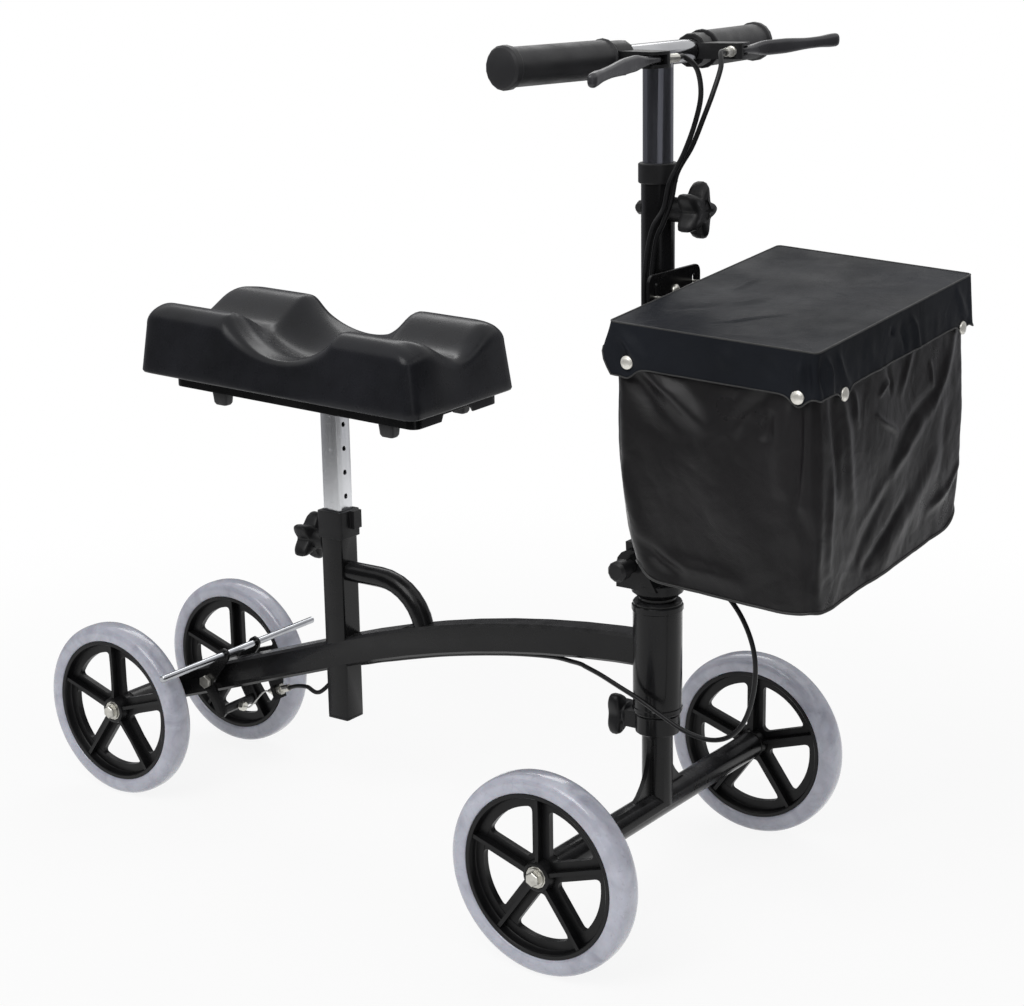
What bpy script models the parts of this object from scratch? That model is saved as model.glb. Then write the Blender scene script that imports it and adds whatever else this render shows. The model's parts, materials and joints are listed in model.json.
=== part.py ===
"""Knee walker: a four-wheeled scooter for one knee, with a steered front axle, a folding column,
a cloth bag and a rod brake on the rear tyres.

The frame's X runs forward, Y to the rider's left and Z up. Sizes below are measured from the
steering axis and the floor. The whole model is then moved along X, so that its box is centred.
"""
import math

import bmesh
import bpy
from mathutils import Matrix, Vector

MM = 0.001

# Clearances, and how far a cutter goes past a face
FIT_GAP = 0.3 * MM
RUNNING_GAP = 0.5 * MM
PAST = 5 * MM
MERGE_DISTANCE = 0.002 * MM

# Facets of round pieces, by size
FACETS_LARGE = 18
FACETS_MEDIUM = 16
FACETS_SMALL = 12
FACETS_TINY = 10

# Wheels
WHEEL_RADIUS = 100 * MM
WHEEL_BASE = 658 * MM
FRONT_HALF_TRACK = 202 * MM
REAR_HALF_TRACK = 100 * MM
WHEEL_FACETS = 28
TYRE_WIDTH = 29 * MM
TREAD_WIDTH = 15 * MM
TYRE_SHOULDER = 4 * MM
RIM_RADIUS = 81.2 * MM
RIM_WIDTH = 25 * MM
RIM_WALL = 4.4 * MM
RIM_FLANGE = 10 * MM
WEB_THICKNESS = 7 * MM
SPOKE_COUNT = 5
SPOKE_WIDTH = 22 * MM
RIB_THICKNESS = 3.4 * MM
HUB_RADIUS = 15 * MM
HUB_WIDTH = 26 * MM
BEARING_RADIUS = 11 * MM
AXLE_BOLT_RADIUS = 4 * MM
AXLE_BOLT_REACH = 26 * MM
WASHER_RADIUS = 9.5 * MM
WASHER_THICKNESS = 1.6 * MM
BOLT_HEAD_RADIUS = 7.5 * MM
BOLT_HEAD_HEIGHT = 5.3 * MM

# Frame
AXLE_TUBE_RADIUS = 14.3 * MM
BEAM_WIDTH = 28 * MM
BEAM_HEIGHT = 32 * MM
BEAM_CORNER = 3 * MM
BEAM_FRONT_HEIGHT = 262 * MM
BEAM_KNEE_X = -400 * MM
BEAM_KNEE_HEIGHT = 188 * MM
BEAM_STATIONS = 9
HEAD_TUBE_RADIUS = 24.5 * MM
HEAD_TUBE_LIP = 25.7 * MM
HEAD_TUBE_LIP_HEIGHT = 6 * MM
HEAD_TUBE_BOTTOM = 201 * MM
HEAD_TUBE_TOP = 311 * MM
HEAD_BORE_RADIUS = 18.5 * MM
SEAT_TUBE_X = -406.5 * MM
SEAT_TUBE_SIZE = 28 * MM
SEAT_TUBE_WALL = 2.2 * MM
SEAT_TUBE_BOTTOM = 113 * MM
SEAT_TUBE_TOP = 345 * MM
HOOP_RADIUS = 11.2 * MM
HOOP_TOP = 280 * MM
HOOP_REACH = 101 * MM
HOOP_BEND = 58 * MM
SLEEVE_WALL = 2.4 * MM
SLEEVE_LENGTH = 30 * MM
SLEEVE_LIP = 3 * MM

# Headset, fork and collar
STEERER_RADIUS = 14.3 * MM
FORK_TUBE_RADIUS = 15.6 * MM
FORK_TUBE_TOP = 177 * MM
CUP_FLANGE = 3.6 * MM
CUP_SPIGOT = 12 * MM
COLLAR_RADIUS = 22.6 * MM
COLLAR_EAR_REACH = 33 * MM
COLLAR_EAR_WIDTH = 20 * MM
COLLAR_SLIT = 3 * MM
COLLAR_SLIT_Y = 8 * MM
GUSSET_THICKNESS = 5 * MM
GUSSET_SPREAD = 66 * MM
GUSSET_HEIGHT = 62 * MM

# Fold joint
FOLD_X = -16 * MM
FOLD_Z = HEAD_TUBE_TOP + 41 * MM
FOLD_BOLT_RADIUS = 5 * MM
YOKE_NECK_RADIUS = 19 * MM
YOKE_RADIUS = 26 * MM
YOKE_NECK_HEIGHT = 6 * MM
YOKE_PLATE_TOP = HEAD_TUBE_TOP + 22 * MM
STEERER_TOP = YOKE_PLATE_TOP - 3 * MM
YOKE_EAR_THICKNESS = 7 * MM
LUG_WIDTH = 36 * MM
LUG_NOSE_RADIUS = 16 * MM
FOLD_KNOB_RADIUS = 10.5 * MM
FOLD_KNOB_LENGTH = 16 * MM
FOLD_KNOB_STANDOFF = 10 * MM

# Column and handlebar
LOWER_STEM_RADIUS = 15.9 * MM
LOWER_STEM_BOTTOM = FOLD_Z + 22 * MM
STEM_COLLAR_RADIUS = 18.6 * MM
STEM_COLLAR_BOTTOM = 722 * MM
STEM_COLLAR_TOP = 741 * MM
STEM_COLLAR_LIP = 3 * MM
UPPER_STEM_RADIUS = 14.3 * MM
UPPER_STEM_WALL = 1.8 * MM
UPPER_STEM_INSERT = 190 * MM
HANDLEBAR_HEIGHT = 840 * MM
HANDLEBAR_RADIUS = 11.1 * MM
HANDLEBAR_HALF_WIDTH = 218 * MM
SWEEP_START = 40 * MM
SWEEP_BEND = 180 * MM
SWEEP_ANGLE = math.radians(7)
GRIP_RADIUS = 17.2 * MM
GRIP_FLANGE_RADIUS = 19.2 * MM
GRIP_LENGTH = 137 * MM
CLAMP_WIDTH = 22 * MM
CLAMP_RADIUS = 16 * MM
CLAMP_TO_GRIP = 4 * MM
PERCH_OFFSET = 6 * MM
LEVER_REACH = 45 * MM
LEVER_PIVOT_RADIUS = 3 * MM
LEVER_THICKNESS = 8 * MM
LEVER_SPAN = 112 * MM
LEVER_TIP_OFFSET = 28 * MM
LEVER_BALL_RADIUS = 6.5 * MM
ADJUSTER_RADIUS = 4 * MM
ADJUSTER_LENGTH = 16 * MM

# Star knobs
KNOB_RADIUS = 28 * MM
KNOB_THICKNESS = 18 * MM
KNOB_LOBES = 5
KNOB_HUB_RADIUS = 11 * MM
KNOB_SCREW_RADIUS = 4 * MM
STEM_KNOB_HEIGHT = 698 * MM
STEM_KNOB_FACE = 33 * MM
SEAT_KNOB_HEIGHT = 311 * MM
SEAT_KNOB_FACE = 18 * MM
COLLAR_KNOB_HEIGHT = 189 * MM
COLLAR_KNOB_RADIUS = 24 * MM
COLLAR_KNOB_THICKNESS = 14 * MM
COLLAR_KNOB_LOBES = 3

# Seat
POST_SIZE = 23 * MM
POST_WALL = 2 * MM
POST_BOTTOM = 215 * MM
POST_HOLE_RADIUS = 2.8 * MM
POST_HOLE_PITCH = 26.5 * MM
POST_HOLE_FIRST = 364 * MM
POST_HOLE_COUNT = 4
PAD_LENGTH = 372 * MM
PAD_WIDTH = 170 * MM
PAD_FRONT_X = -233 * MM
PAD_BOTTOM = 489 * MM
PAD_HUMP = 77 * MM
PAD_DIP = 37 * MM
PAD_TROUGH = 24 * MM
PAD_CORNER = 24 * MM
PAD_EDGE = 14 * MM
PAD_DRAFT = 7 * MM
PAD_SIDE_PARTS = 9
PAD_END_PARTS = 5
PAD_CROWN_RINGS = 8
PLATE_THICKNESS = 6 * MM
SOCKET_DEPTH = 20 * MM
PLATE_REAR_INSET = 34 * MM
PLATE_SIDE_INSET = 14 * MM
PLATE_FRONT_INSET = 8 * MM
BLOCK_LENGTH = 24 * MM
BLOCK_WIDTH = 16 * MM
BLOCK_HEIGHT = 12 * MM
BLOCK_SPREAD = 52 * MM

# Bag
BAG_BACK_X = 46 * MM
BAG_DEPTH = 200 * MM
BAG_HALF_WIDTH = 149 * MM
BAG_TOP = 626 * MM
BAG_BOTTOM = 386 * MM
BAG_BACK_TAPER = 15 * MM
BAG_FRONT_TAPER = 8 * MM
BAG_SIDE_TAPER = 4 * MM
BAG_CORNER = 16 * MM
BAG_BOTTOM_ROUND = 24 * MM
BAG_WALL = 3 * MM
LID_THICKNESS = 3.5 * MM
LID_SKIRT = 44 * MM
LID_SKIRT_WALL = 2.4 * MM
LID_FLARE = 1.5 * MM
LID_GAP = 0.6 * MM
LID_BACK_OVERHANG = 2 * MM
WIRE_RADIUS = 3 * MM
HOOK_SPACING = 40 * MM
HOOK_RADIUS = 2.6 * MM
BRACKET_WIDTH = 60 * MM
BRACKET_THICKNESS = 3 * MM
BRACKET_BELOW_BAG_TOP = 14 * MM
BRACKET_ABOVE_BAG_TOP = 48 * MM
BRACKET_CORNER = 9 * MM
BRACKET_BOLT_RADIUS = 3 * MM
BRACKET_BOLT_DROP = 12 * MM
SLOT_WIDTH = 8.5 * MM
SLOT_HEIGHT = 15 * MM
SLOT_RISE = 3 * MM
SLOT_SPACING = 24 * MM

# Rear brake
BRAKE_PIVOT_X = -590 * MM
BRAKE_PIVOT_RADIUS = 4 * MM
BRAKE_SLEEVE_RADIUS = 7 * MM
BRAKE_SLEEVE_HALF = 24 * MM
BRAKE_PLATE = 3.2 * MM
BRAKE_ROD_X = -562 * MM
BRAKE_ROD_Z = 160 * MM
BRAKE_ROD_RADIUS = 4 * MM
BRAKE_ROD_HALF = 127 * MM
BRAKE_ARM_WIDTH = 15 * MM
PINCH_X = -571 * MM
PINCH_Z = 90 * MM
TAB_X = -511 * MM
TAB_DEPTH = 24 * MM
TAB_THICKNESS = 3.2 * MM

# Cables
CABLE_RADIUS = 2.4 * MM
JUNCTION_LENGTH = 30 * MM
WIRE_CORE_RADIUS = 0.9 * MM

# Colours, linear
BLACK_PAINT = (0.022, 0.022, 0.024)
CHROME = (0.72, 0.73, 0.75)
ZINC = (0.55, 0.57, 0.56)
BLACK_PLASTIC = (0.02, 0.02, 0.022)
TYRE_GREY = (0.42, 0.42, 0.49)
PAD_BLACK = (0.02, 0.021, 0.024)
BAG_BLACK = (0.018, 0.017, 0.019)

PAINTS = {
    "frame": (BLACK_PAINT, 0.3, 0.0),
    "chrome": (CHROME, 0.12, 1.0),
    "zinc": (ZINC, 0.35, 1.0),
    "plastic": (BLACK_PLASTIC, 0.45, 0.0),
    "grip": (BLACK_PLASTIC, 0.6, 0.0),
    "tyre": (TYRE_GREY, 0.4, 0.0),
    "pad": (PAD_BLACK, 0.4, 0.0),
    "bag": (BAG_BLACK, 0.8, 0.0),
}

SIDES = (("right", -1), ("left", 1))
BODIES = {}


def clear_scene():
    for item in list(bpy.data.objects):
        bpy.data.objects.remove(item, do_unlink=True)


def paint(finish):
    """Own material for one object, in the colour of its finish."""
    colour, roughness, metallic = PAINTS[finish]
    surface = bpy.data.materials.new(finish)
    surface.use_nodes = True
    shader = surface.node_tree.nodes["Principled BSDF"]
    shader.inputs["Base Color"].default_value = (*colour, 1)
    shader.inputs["Roughness"].default_value = roughness
    shader.inputs["Metallic"].default_value = metallic
    return surface


def body(name, parent, origin):
    """An empty on a body's joint axis, below its parent body's empty."""
    guide = bpy.data.objects.new(name + "_body", None)
    guide.empty_display_size = 0.03
    bpy.context.collection.objects.link(guide)
    origin = Vector(origin)
    if parent:
        guide.parent = BODIES[parent][0]
        guide.location = origin - BODIES[parent][1]
    else:
        guide.location = origin + Vector((STEER_X, 0, 0))
    BODIES[name] = (guide, origin)


def form(shape):
    """A scene object that holds the bmesh, still without a name of its own."""
    bmesh.ops.recalc_face_normals(shape, faces=shape.faces)
    mesh = bpy.data.meshes.new("form")
    shape.to_mesh(mesh)
    shape.free()
    item = bpy.data.objects.new("form", mesh)
    bpy.context.collection.objects.link(item)
    return item


def combined(base, others, operation):
    """The base with every other form joined to it or cut from it."""
    for other in others:
        step = base.modifiers.new("step", "BOOLEAN")
        step.object = other
        step.operation = operation
        step.solver = "EXACT"
        seen = base.evaluated_get(bpy.context.evaluated_depsgraph_get())
        mesh = bpy.data.meshes.new_from_object(seen)
        base.modifiers.clear()
        base.data = mesh
        bpy.data.objects.remove(other, do_unlink=True)
        tidy = bmesh.new()
        tidy.from_mesh(mesh)
        bmesh.ops.remove_doubles(tidy, verts=tidy.verts, dist=MERGE_DISTANCE)
        bmesh.ops.dissolve_degenerate(tidy, edges=tidy.edges, dist=MERGE_DISTANCE)
        tidy.to_mesh(mesh)
        tidy.free()
    return base


def joined(base, *others):
    return combined(base, others, "UNION")


def cut(base, *others):
    return combined(base, others, "DIFFERENCE")


def keep(item, name, owner, finish, smooth=32):
    """Names a form, gives it a material and hangs it on its body."""
    guide, origin = BODIES[owner]
    item.name = name
    item.data.name = name
    item.data.transform(Matrix.Translation(-origin) @ item.matrix_basis)
    item.matrix_basis = Matrix.Identity(4)
    item.parent = guide
    item.data.materials.clear()
    item.data.materials.append(paint(finish))
    item.data.shade_smooth()
    item.data.set_sharp_from_angle(angle=math.radians(smooth))
    return item


def turned(profile, steps, axis="Z", at=(0, 0, 0), flats=True):
    """A solid of revolution. The profile lists radius and height, and closes by itself."""
    shape = bmesh.new()
    start = math.pi / steps if flats else 0.0
    points = []
    for radius, height in profile:
        place = Vector((radius * math.cos(start), radius * math.sin(start), height))
        points.append(shape.verts.new(place))
    pairs = list(zip(points, points[1:]))
    if profile[0][0] > 0:
        pairs.append((points[-1], points[0]))
    edges = [shape.edges.new(pair) for pair in pairs]
    bmesh.ops.spin(
        shape, geom=points + edges, axis=(0, 0, 1), cent=(0, 0, 0),
        angle=math.tau, steps=steps, use_merge=True)
    bmesh.ops.remove_doubles(shape, verts=shape.verts, dist=0.001 * MM)
    turn = {"Z": Matrix.Identity(3), "Y": Matrix.Rotation(-math.pi / 2, 3, "X"),
            "X": Matrix.Rotation(math.pi / 2, 3, "Y")}[axis]
    bmesh.ops.transform(shape, matrix=Matrix.Translation(at) @ turn.to_4x4(), verts=shape.verts)
    return form(shape)


def across_flats(radius, steps):
    """Corner radius of a polygon whose flats lie at the given radius."""
    return radius / math.cos(math.pi / steps)


def cylinder(radius, low, high, axis="Z", at=(0, 0, 0), steps=24, edge=0.0):
    profile = [(0, low), (radius - edge, low)]
    if edge:
        profile += [(radius, low + edge), (radius, high - edge)]
    profile += [(radius - edge, high), (0, high)]
    if not edge:
        profile = [(0, low), (radius, low), (radius, high), (0, high)]
    return turned(profile, steps, axis, at)


def ring(outer, inner, low, high, axis="Z", at=(0, 0, 0), steps=24, edge=0.0):
    if not edge:
        profile = [(inner, low), (outer, low), (outer, high), (inner, high)]
    else:
        profile = [(inner, low), (outer - edge, low), (outer, low + edge),
                   (outer, high - edge), (outer - edge, high), (inner, high)]
    return turned(profile, steps, axis, at)


def box(low, high):
    shape = bmesh.new()
    size = Vector(high) - Vector(low)
    middle = (Vector(high) + Vector(low)) / 2
    bmesh.ops.create_cube(shape, size=1, matrix=Matrix.Translation(middle) @ Matrix.Diagonal((*size, 1)))
    return form(shape)


def lofted(rings):
    """A closed solid through rings of equally many points, capped at both ends."""
    shape = bmesh.new()
    rows = [[shape.verts.new(point) for point in points] for points in rings]
    count = len(rows[0])
    for low, high in zip(rows, rows[1:]):
        for index in range(count):
            after = (index + 1) % count
            shape.faces.new((low[index], low[after], high[after], high[index]))
    shape.faces.new(rows[0])
    shape.faces.new(rows[-1])
    return form(shape)


def extruded(outline, low, high, axis="Y"):
    """An outline in the plane across the axis, given thickness along it."""
    places = {"X": lambda u, v, w: Vector((w, u, v)), "Y": lambda u, v, w: Vector((u, w, v)),
              "Z": lambda u, v, w: Vector((u, v, w))}[axis]
    return lofted([[places(u, v, w) for u, v in outline] for w in (low, high)])


def arc(centre, radius, start, end, steps):
    """Points of an arc in a plane, angles in degrees."""
    points = []
    for index in range(steps + 1):
        angle = math.radians(start + (end - start) * index / steps)
        points.append((centre[0] + radius * math.cos(angle), centre[1] + radius * math.sin(angle)))
    return points


def rounded_rectangle(low, high, radius, steps=4):
    """Counter-clockwise outline of a rectangle with round corners."""
    (x0, y0), (x1, y1) = low, high
    outline = arc((x1 - radius, y1 - radius), radius, 0, 90, steps)
    outline += arc((x0 + radius, y1 - radius), radius, 90, 180, steps)
    outline += arc((x0 + radius, y0 + radius), radius, 180, 270, steps)
    outline += arc((x1 - radius, y0 + radius), radius, 270, 360, steps)
    return outline


def tube(points, radius, sides=16):
    """A round bar along a path, with flat ends."""
    points = [Vector(point) for point in points]
    rings = []
    normal = None
    for index, point in enumerate(points):
        before = points[max(index - 1, 0)]
        after = points[min(index + 1, len(points) - 1)]
        along = (after - before).normalized()
        if normal is None:
            normal = along.orthogonal().normalized()
        else:
            normal = (normal - along * normal.dot(along)).normalized()
        side = along.cross(normal)
        rings.append([
            point + radius * (normal * math.cos(turn) + side * math.sin(turn))
            for turn in (math.tau * k / sides for k in range(sides))])
    return lofted(rings)


def bar_in_plane(points, width, height, corner):
    """A box section with small corners along a path in the XZ plane."""
    outline = rounded_rectangle((-width / 2, -height / 2), (width / 2, height / 2), corner, 1)
    rings = []
    for index, (x, z) in enumerate(points):
        before = points[max(index - 1, 0)]
        after = points[min(index + 1, len(points) - 1)]
        slope = math.atan2(after[1] - before[1], after[0] - before[0])
        rings.append([
            Vector((x - v * math.sin(slope), u, z + v * math.cos(slope))) for u, v in outline])
    return lofted(rings)


def smooth_path(points, steps):
    """Catmull-Rom curve through points, with even parts between each two."""
    points = [Vector(point) for point in points]
    padded = [2 * points[0] - points[1], *points, 2 * points[-1] - points[-2]]
    path = []
    for index in range(len(points) - 1):
        a, b, c, d = padded[index:index + 4]
        for step in range(steps):
            t = step / steps
            path.append(0.5 * (2 * b + (c - a) * t + (2 * a - 5 * b + 4 * c - d) * t ** 2
                               + (3 * b - a - 3 * c + d) * t ** 3))
    path.append(points[-1])
    return path


def cable(name, points, radius, owner, steps=4):
    """A flexible cable as a round curve along its route."""
    guide, origin = BODIES[owner]
    curve = bpy.data.curves.new(name, "CURVE")
    curve.dimensions = "3D"
    curve.bevel_depth = radius
    curve.bevel_resolution = 1
    curve.use_fill_caps = True
    path = smooth_path(points, steps)
    spline = curve.splines.new("POLY")
    spline.points.add(len(path) - 1)
    for place, point in zip(spline.points, path):
        place.co = (*(point - origin), 1)
    item = bpy.data.objects.new(name, curve)
    bpy.context.collection.objects.link(item)
    item.parent = guide
    curve.materials.append(paint("plastic"))
    return item


def star_ring(radius, lobes, depth, distance, count):
    """Ring of a star knob: each lobe is a round bump of the radius."""
    points = []
    for index in range(count):
        angle = math.tau * index / count
        bump = 1 - depth * (0.5 - 0.5 * math.cos(lobes * angle)) ** 0.8
        points.append((radius * bump * math.cos(angle), radius * bump * math.sin(angle), distance))
    return points


def star_knob(name, owner, wall, tip, face, height, direction, radius, thickness, lobes):
    """A star knob whose axis lies along X, with its boss on a wall and its screw reaching the tip."""
    count = lobes * 5
    rings = [
        star_ring(KNOB_SCREW_RADIUS, lobes, 0, tip, count),
        star_ring(KNOB_SCREW_RADIUS, lobes, 0, wall, count),
        star_ring(KNOB_HUB_RADIUS, lobes, 0, wall, count),
        star_ring(KNOB_HUB_RADIUS, lobes, 0, face, count),
        star_ring(radius * 0.86, lobes, 0.42, face, count),
        star_ring(radius, lobes, 0.46, face + thickness * 0.3, count),
        star_ring(radius, lobes, 0.46, face + thickness * 0.65, count),
        star_ring(radius * 0.8, lobes, 0.42, face + thickness, count),
    ]
    places = [[Vector((direction * w, u, v + height)) for u, v, w in points] for points in rings]
    return keep(lofted(places), name, owner, "plastic", 40)


def tyre(name, owner):
    """Solid tyre: a flat tread, round shoulders and plain sides on a drum seat."""
    seat = RIM_RADIUS + FIT_GAP
    half = TYRE_WIDTH / 2
    top = WHEEL_RADIUS
    profile = [
        (seat, -RIM_WIDTH / 2), (seat + TYRE_SHOULDER, -half), (top - 2 * TYRE_SHOULDER, -half),
        (top, -TREAD_WIDTH / 2)]
    profile += [(radius, -width) for radius, width in reversed(profile)]
    corners = [(across_flats(radius, WHEEL_FACETS), width) for radius, width in profile]
    middle = Vector(BODIES[owner][1])
    return keep(turned(corners, WHEEL_FACETS, "Y", middle), name, owner, "tyre", 50)


def rim(name, owner):
    """Moulded wheel: drum, flange, and spokes with a rib on both faces."""
    middle = BODIES[owner][1]
    half = RIM_WIDTH / 2
    wall = RIM_RADIUS - RIM_WALL
    flange = wall - RIM_FLANGE
    web = WEB_THICKNESS / 2
    profile = [
        (RIM_RADIUS, -half), (RIM_RADIUS, half), (wall + 1 * MM, half), (wall - 1 * MM, web),
        (flange, web), (flange, -web), (wall - 1 * MM, -web), (wall + 1 * MM, -half)]
    corners = [(across_flats(radius, WHEEL_FACETS), width) for radius, width in profile]
    drum = turned(corners, WHEEL_FACETS, "Y", middle)
    parts = [cylinder(HUB_RADIUS, -HUB_WIDTH / 2, HUB_WIDTH / 2, "Y", middle, FACETS_SMALL)]
    for index in range(SPOKE_COUNT):
        angle = math.tau * index / SPOKE_COUNT
        turn = Matrix.Translation(middle) @ Matrix.Rotation(angle, 4, "Y")
        reach = flange + 2 * MM
        narrow = SPOKE_WIDTH * 0.42
        spoke = extruded(
            [(-SPOKE_WIDTH / 2, reach), (-narrow, HUB_RADIUS * 0.6), (narrow, HUB_RADIUS * 0.6),
             (SPOKE_WIDTH / 2, reach)], 0.3 * MM - web, web - 0.3 * MM)
        thin = RIB_THICKNESS / 2
        deep = half - 2 * MM
        rib = lofted([
            [Vector((-thin, -deep, z)), Vector((thin, -deep, z)),
             Vector((thin, deep, z)), Vector((-thin, deep, z))]
            for z in (HUB_RADIUS * 0.7, wall + 1 * MM)])
        for piece in (spoke, rib):
            piece.data.transform(turn)
            parts.append(piece)
    wheel = joined(drum, *parts)
    bore = cylinder(BEARING_RADIUS + FIT_GAP, -HUB_WIDTH, HUB_WIDTH, "Y", middle, FACETS_SMALL)
    return keep(cut(wheel, bore), name, owner, "plastic", 35)


def wheel(name, parent, x, y):
    """One wheel body with its tyre, rim and bearing, and the axle bolt on the parent body."""
    side = 1 if y > 0 else -1
    owner = name + "_wheel"
    body(owner, parent, (x, y, WHEEL_RADIUS))
    tyre(name + "_tyre", owner)
    rim(name + "_rim", owner)
    middle = BODIES[owner][1]
    bore = AXLE_BOLT_RADIUS + FIT_GAP
    bearing = ring(BEARING_RADIUS, bore, -HUB_WIDTH / 2, HUB_WIDTH / 2, "Y", middle, FACETS_SMALL)
    keep(bearing, name + "_bearing", owner, "zinc")
    face = HUB_WIDTH / 2 + FIT_GAP
    washer = face + WASHER_THICKNESS
    shank = -HUB_WIDTH / 2 - AXLE_BOLT_REACH
    bolt = cylinder(AXLE_BOLT_RADIUS, shank, washer, "Y", (0, 0, 0), FACETS_TINY)
    disc = cylinder(WASHER_RADIUS, face, washer, "Y", (0, 0, 0), FACETS_SMALL)
    head = turned([(0, washer - 0.2 * MM), (BOLT_HEAD_RADIUS, washer - 0.2 * MM),
                   (BOLT_HEAD_RADIUS, washer + BOLT_HEAD_HEIGHT - 1 * MM),
                   (BOLT_HEAD_RADIUS - 1 * MM, washer + BOLT_HEAD_HEIGHT), (0, washer + BOLT_HEAD_HEIGHT)],
                  6, "Y")
    bolt = joined(bolt, disc, head)
    bolt.data.transform(Matrix.Translation(middle) @ Matrix.Diagonal((1, side, 1, 1)))
    if side < 0:
        bolt.data.flip_normals()
    keep(bolt, name + "_axle_bolt", parent, "zinc")


def axle_tube(x, half_track):
    """Cross tube between a pair of wheels, with blind bores for the axle bolts."""
    half = half_track - HUB_WIDTH / 2 - RUNNING_GAP
    return cylinder(AXLE_TUBE_RADIUS, -half, half, "Y", (x, 0, WHEEL_RADIUS), FACETS_LARGE, 0.8 * MM)


def axle_bores(x, half_track):
    """Cutters for the blind bores, a little deeper than the bolts reach."""
    mouth = half_track - HUB_WIDTH / 2 - RUNNING_GAP + PAST
    depth = half_track - HUB_WIDTH / 2 - AXLE_BOLT_REACH - FIT_GAP
    bores = []
    for _, side in SIDES:
        low, high = sorted((side * depth, side * mouth))
        bores.append(cylinder(AXLE_BOLT_RADIUS + FIT_GAP, low, high, "Y", (x, 0, WHEEL_RADIUS), FACETS_TINY))
    return bores


def beam_path():
    """Centre line of the beam: a straight tail and a gentle arch that ends level at the head tube."""
    slope = (BEAM_KNEE_HEIGHT - WHEEL_RADIUS) / (BEAM_KNEE_X + WHEEL_BASE)
    points = [(-WHEEL_BASE, WHEEL_RADIUS), (BEAM_KNEE_X, BEAM_KNEE_HEIGHT)]
    rise = BEAM_FRONT_HEIGHT - BEAM_KNEE_HEIGHT
    bend = (slope - rise / -BEAM_KNEE_X) / -BEAM_KNEE_X
    for index in range(1, BEAM_STATIONS + 1):
        along = -BEAM_KNEE_X * index / BEAM_STATIONS
        points.append((BEAM_KNEE_X + along, BEAM_KNEE_HEIGHT + slope * along - bend * along ** 2))
    return points


def beam_height(x):
    """Height of the beam's centre line at one place."""
    points = beam_path()
    for (x0, z0), (x1, z1) in zip(points, points[1:]):
        if x0 <= x <= x1:
            return z0 + (z1 - z0) * (x - x0) / (x1 - x0)
    return points[-1][1]


def beam_slope():
    """Slope of the beam's straight tail, as an angle."""
    return math.atan2(BEAM_KNEE_HEIGHT - WHEEL_RADIUS, BEAM_KNEE_X + WHEEL_BASE)


def main_frame():
    """Welded frame: beam, seat tube, head tube, hoop, rear axle tube, brake sleeve and cable tab."""
    path = beam_path()
    beam = bar_in_plane(path, BEAM_WIDTH, BEAM_HEIGHT, BEAM_CORNER)
    head = turned([
        (0, HEAD_TUBE_BOTTOM), (HEAD_TUBE_RADIUS + 0.8 * MM, HEAD_TUBE_BOTTOM),
        (HEAD_TUBE_RADIUS + 0.8 * MM, HEAD_TUBE_BOTTOM + 3 * MM),
        (HEAD_TUBE_RADIUS, HEAD_TUBE_BOTTOM + 4 * MM),
        (HEAD_TUBE_RADIUS, HEAD_TUBE_TOP - HEAD_TUBE_LIP_HEIGHT - 1 * MM),
        (HEAD_TUBE_LIP, HEAD_TUBE_TOP - HEAD_TUBE_LIP_HEIGHT), (HEAD_TUBE_LIP, HEAD_TUBE_TOP - 1 * MM),
        (HEAD_TUBE_LIP - 1 * MM, HEAD_TUBE_TOP), (0, HEAD_TUBE_TOP)], FACETS_LARGE)
    half = SEAT_TUBE_SIZE / 2
    seat = extruded(
        rounded_rectangle((SEAT_TUBE_X - half, -half), (SEAT_TUBE_X + half, half), 2 * MM, 2),
        SEAT_TUBE_BOTTOM, SEAT_TUBE_TOP, "Z")
    start = SEAT_TUBE_X + half - 3 * MM
    end_x = SEAT_TUBE_X + half + HOOP_REACH
    bend = arc((end_x - HOOP_BEND, HOOP_TOP - HOOP_BEND), HOOP_BEND, 90, 0, 8)
    hoop_points = [(start, 0, HOOP_TOP)] + [(x, 0, z) for x, z in bend]
    hoop_points.append((end_x, 0, beam_height(end_x)))
    hoop = tube(hoop_points, HOOP_RADIUS, FACETS_SMALL)
    axle = axle_tube(-WHEEL_BASE, REAR_HALF_TRACK)
    pivot = (BRAKE_PIVOT_X, 0, beam_height(BRAKE_PIVOT_X))
    sleeve = cylinder(BRAKE_SLEEVE_RADIUS, -BRAKE_SLEEVE_HALF, BRAKE_SLEEVE_HALF, "Y", pivot, FACETS_SMALL)
    under = beam_height(TAB_X) - BEAM_HEIGHT / 2
    tab = box((TAB_X - TAB_THICKNESS / 2, -9 * MM, under - TAB_DEPTH),
              (TAB_X + TAB_THICKNESS / 2, 9 * MM, under + 6 * MM))
    along_tail(tab)
    frame = joined(beam, head, seat, hoop, axle, sleeve, tab)
    inner = half - SEAT_TUBE_WALL
    bores = axle_bores(-WHEEL_BASE, REAR_HALF_TRACK)
    bores.append(cylinder(HEAD_BORE_RADIUS, HEAD_TUBE_BOTTOM - PAST, HEAD_TUBE_TOP + PAST,
                          steps=FACETS_LARGE))
    bores.append(box((SEAT_TUBE_X - inner, -inner, SEAT_TUBE_BOTTOM - PAST),
                     (SEAT_TUBE_X + inner, inner, SEAT_TUBE_TOP + PAST)))
    through = BRAKE_SLEEVE_HALF + PAST
    bores.append(cylinder(BRAKE_PIVOT_RADIUS + FIT_GAP, -through, through, "Y", pivot, FACETS_TINY))
    screw = KNOB_SCREW_RADIUS + FIT_GAP
    bores.append(cylinder(screw, SEAT_TUBE_X - 30 * MM, SEAT_TUBE_X - inner + 3 * MM, "X",
                          (0, 0, SEAT_KNOB_HEIGHT), FACETS_TINY))
    hole = cylinder(ADJUSTER_RADIUS + FIT_GAP, -10 * MM, 10 * MM, "X", adjuster_place(), FACETS_TINY)
    bores.append(along_tail(hole))
    return keep(cut(frame, *bores), "main_frame", "frame", "frame")


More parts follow.
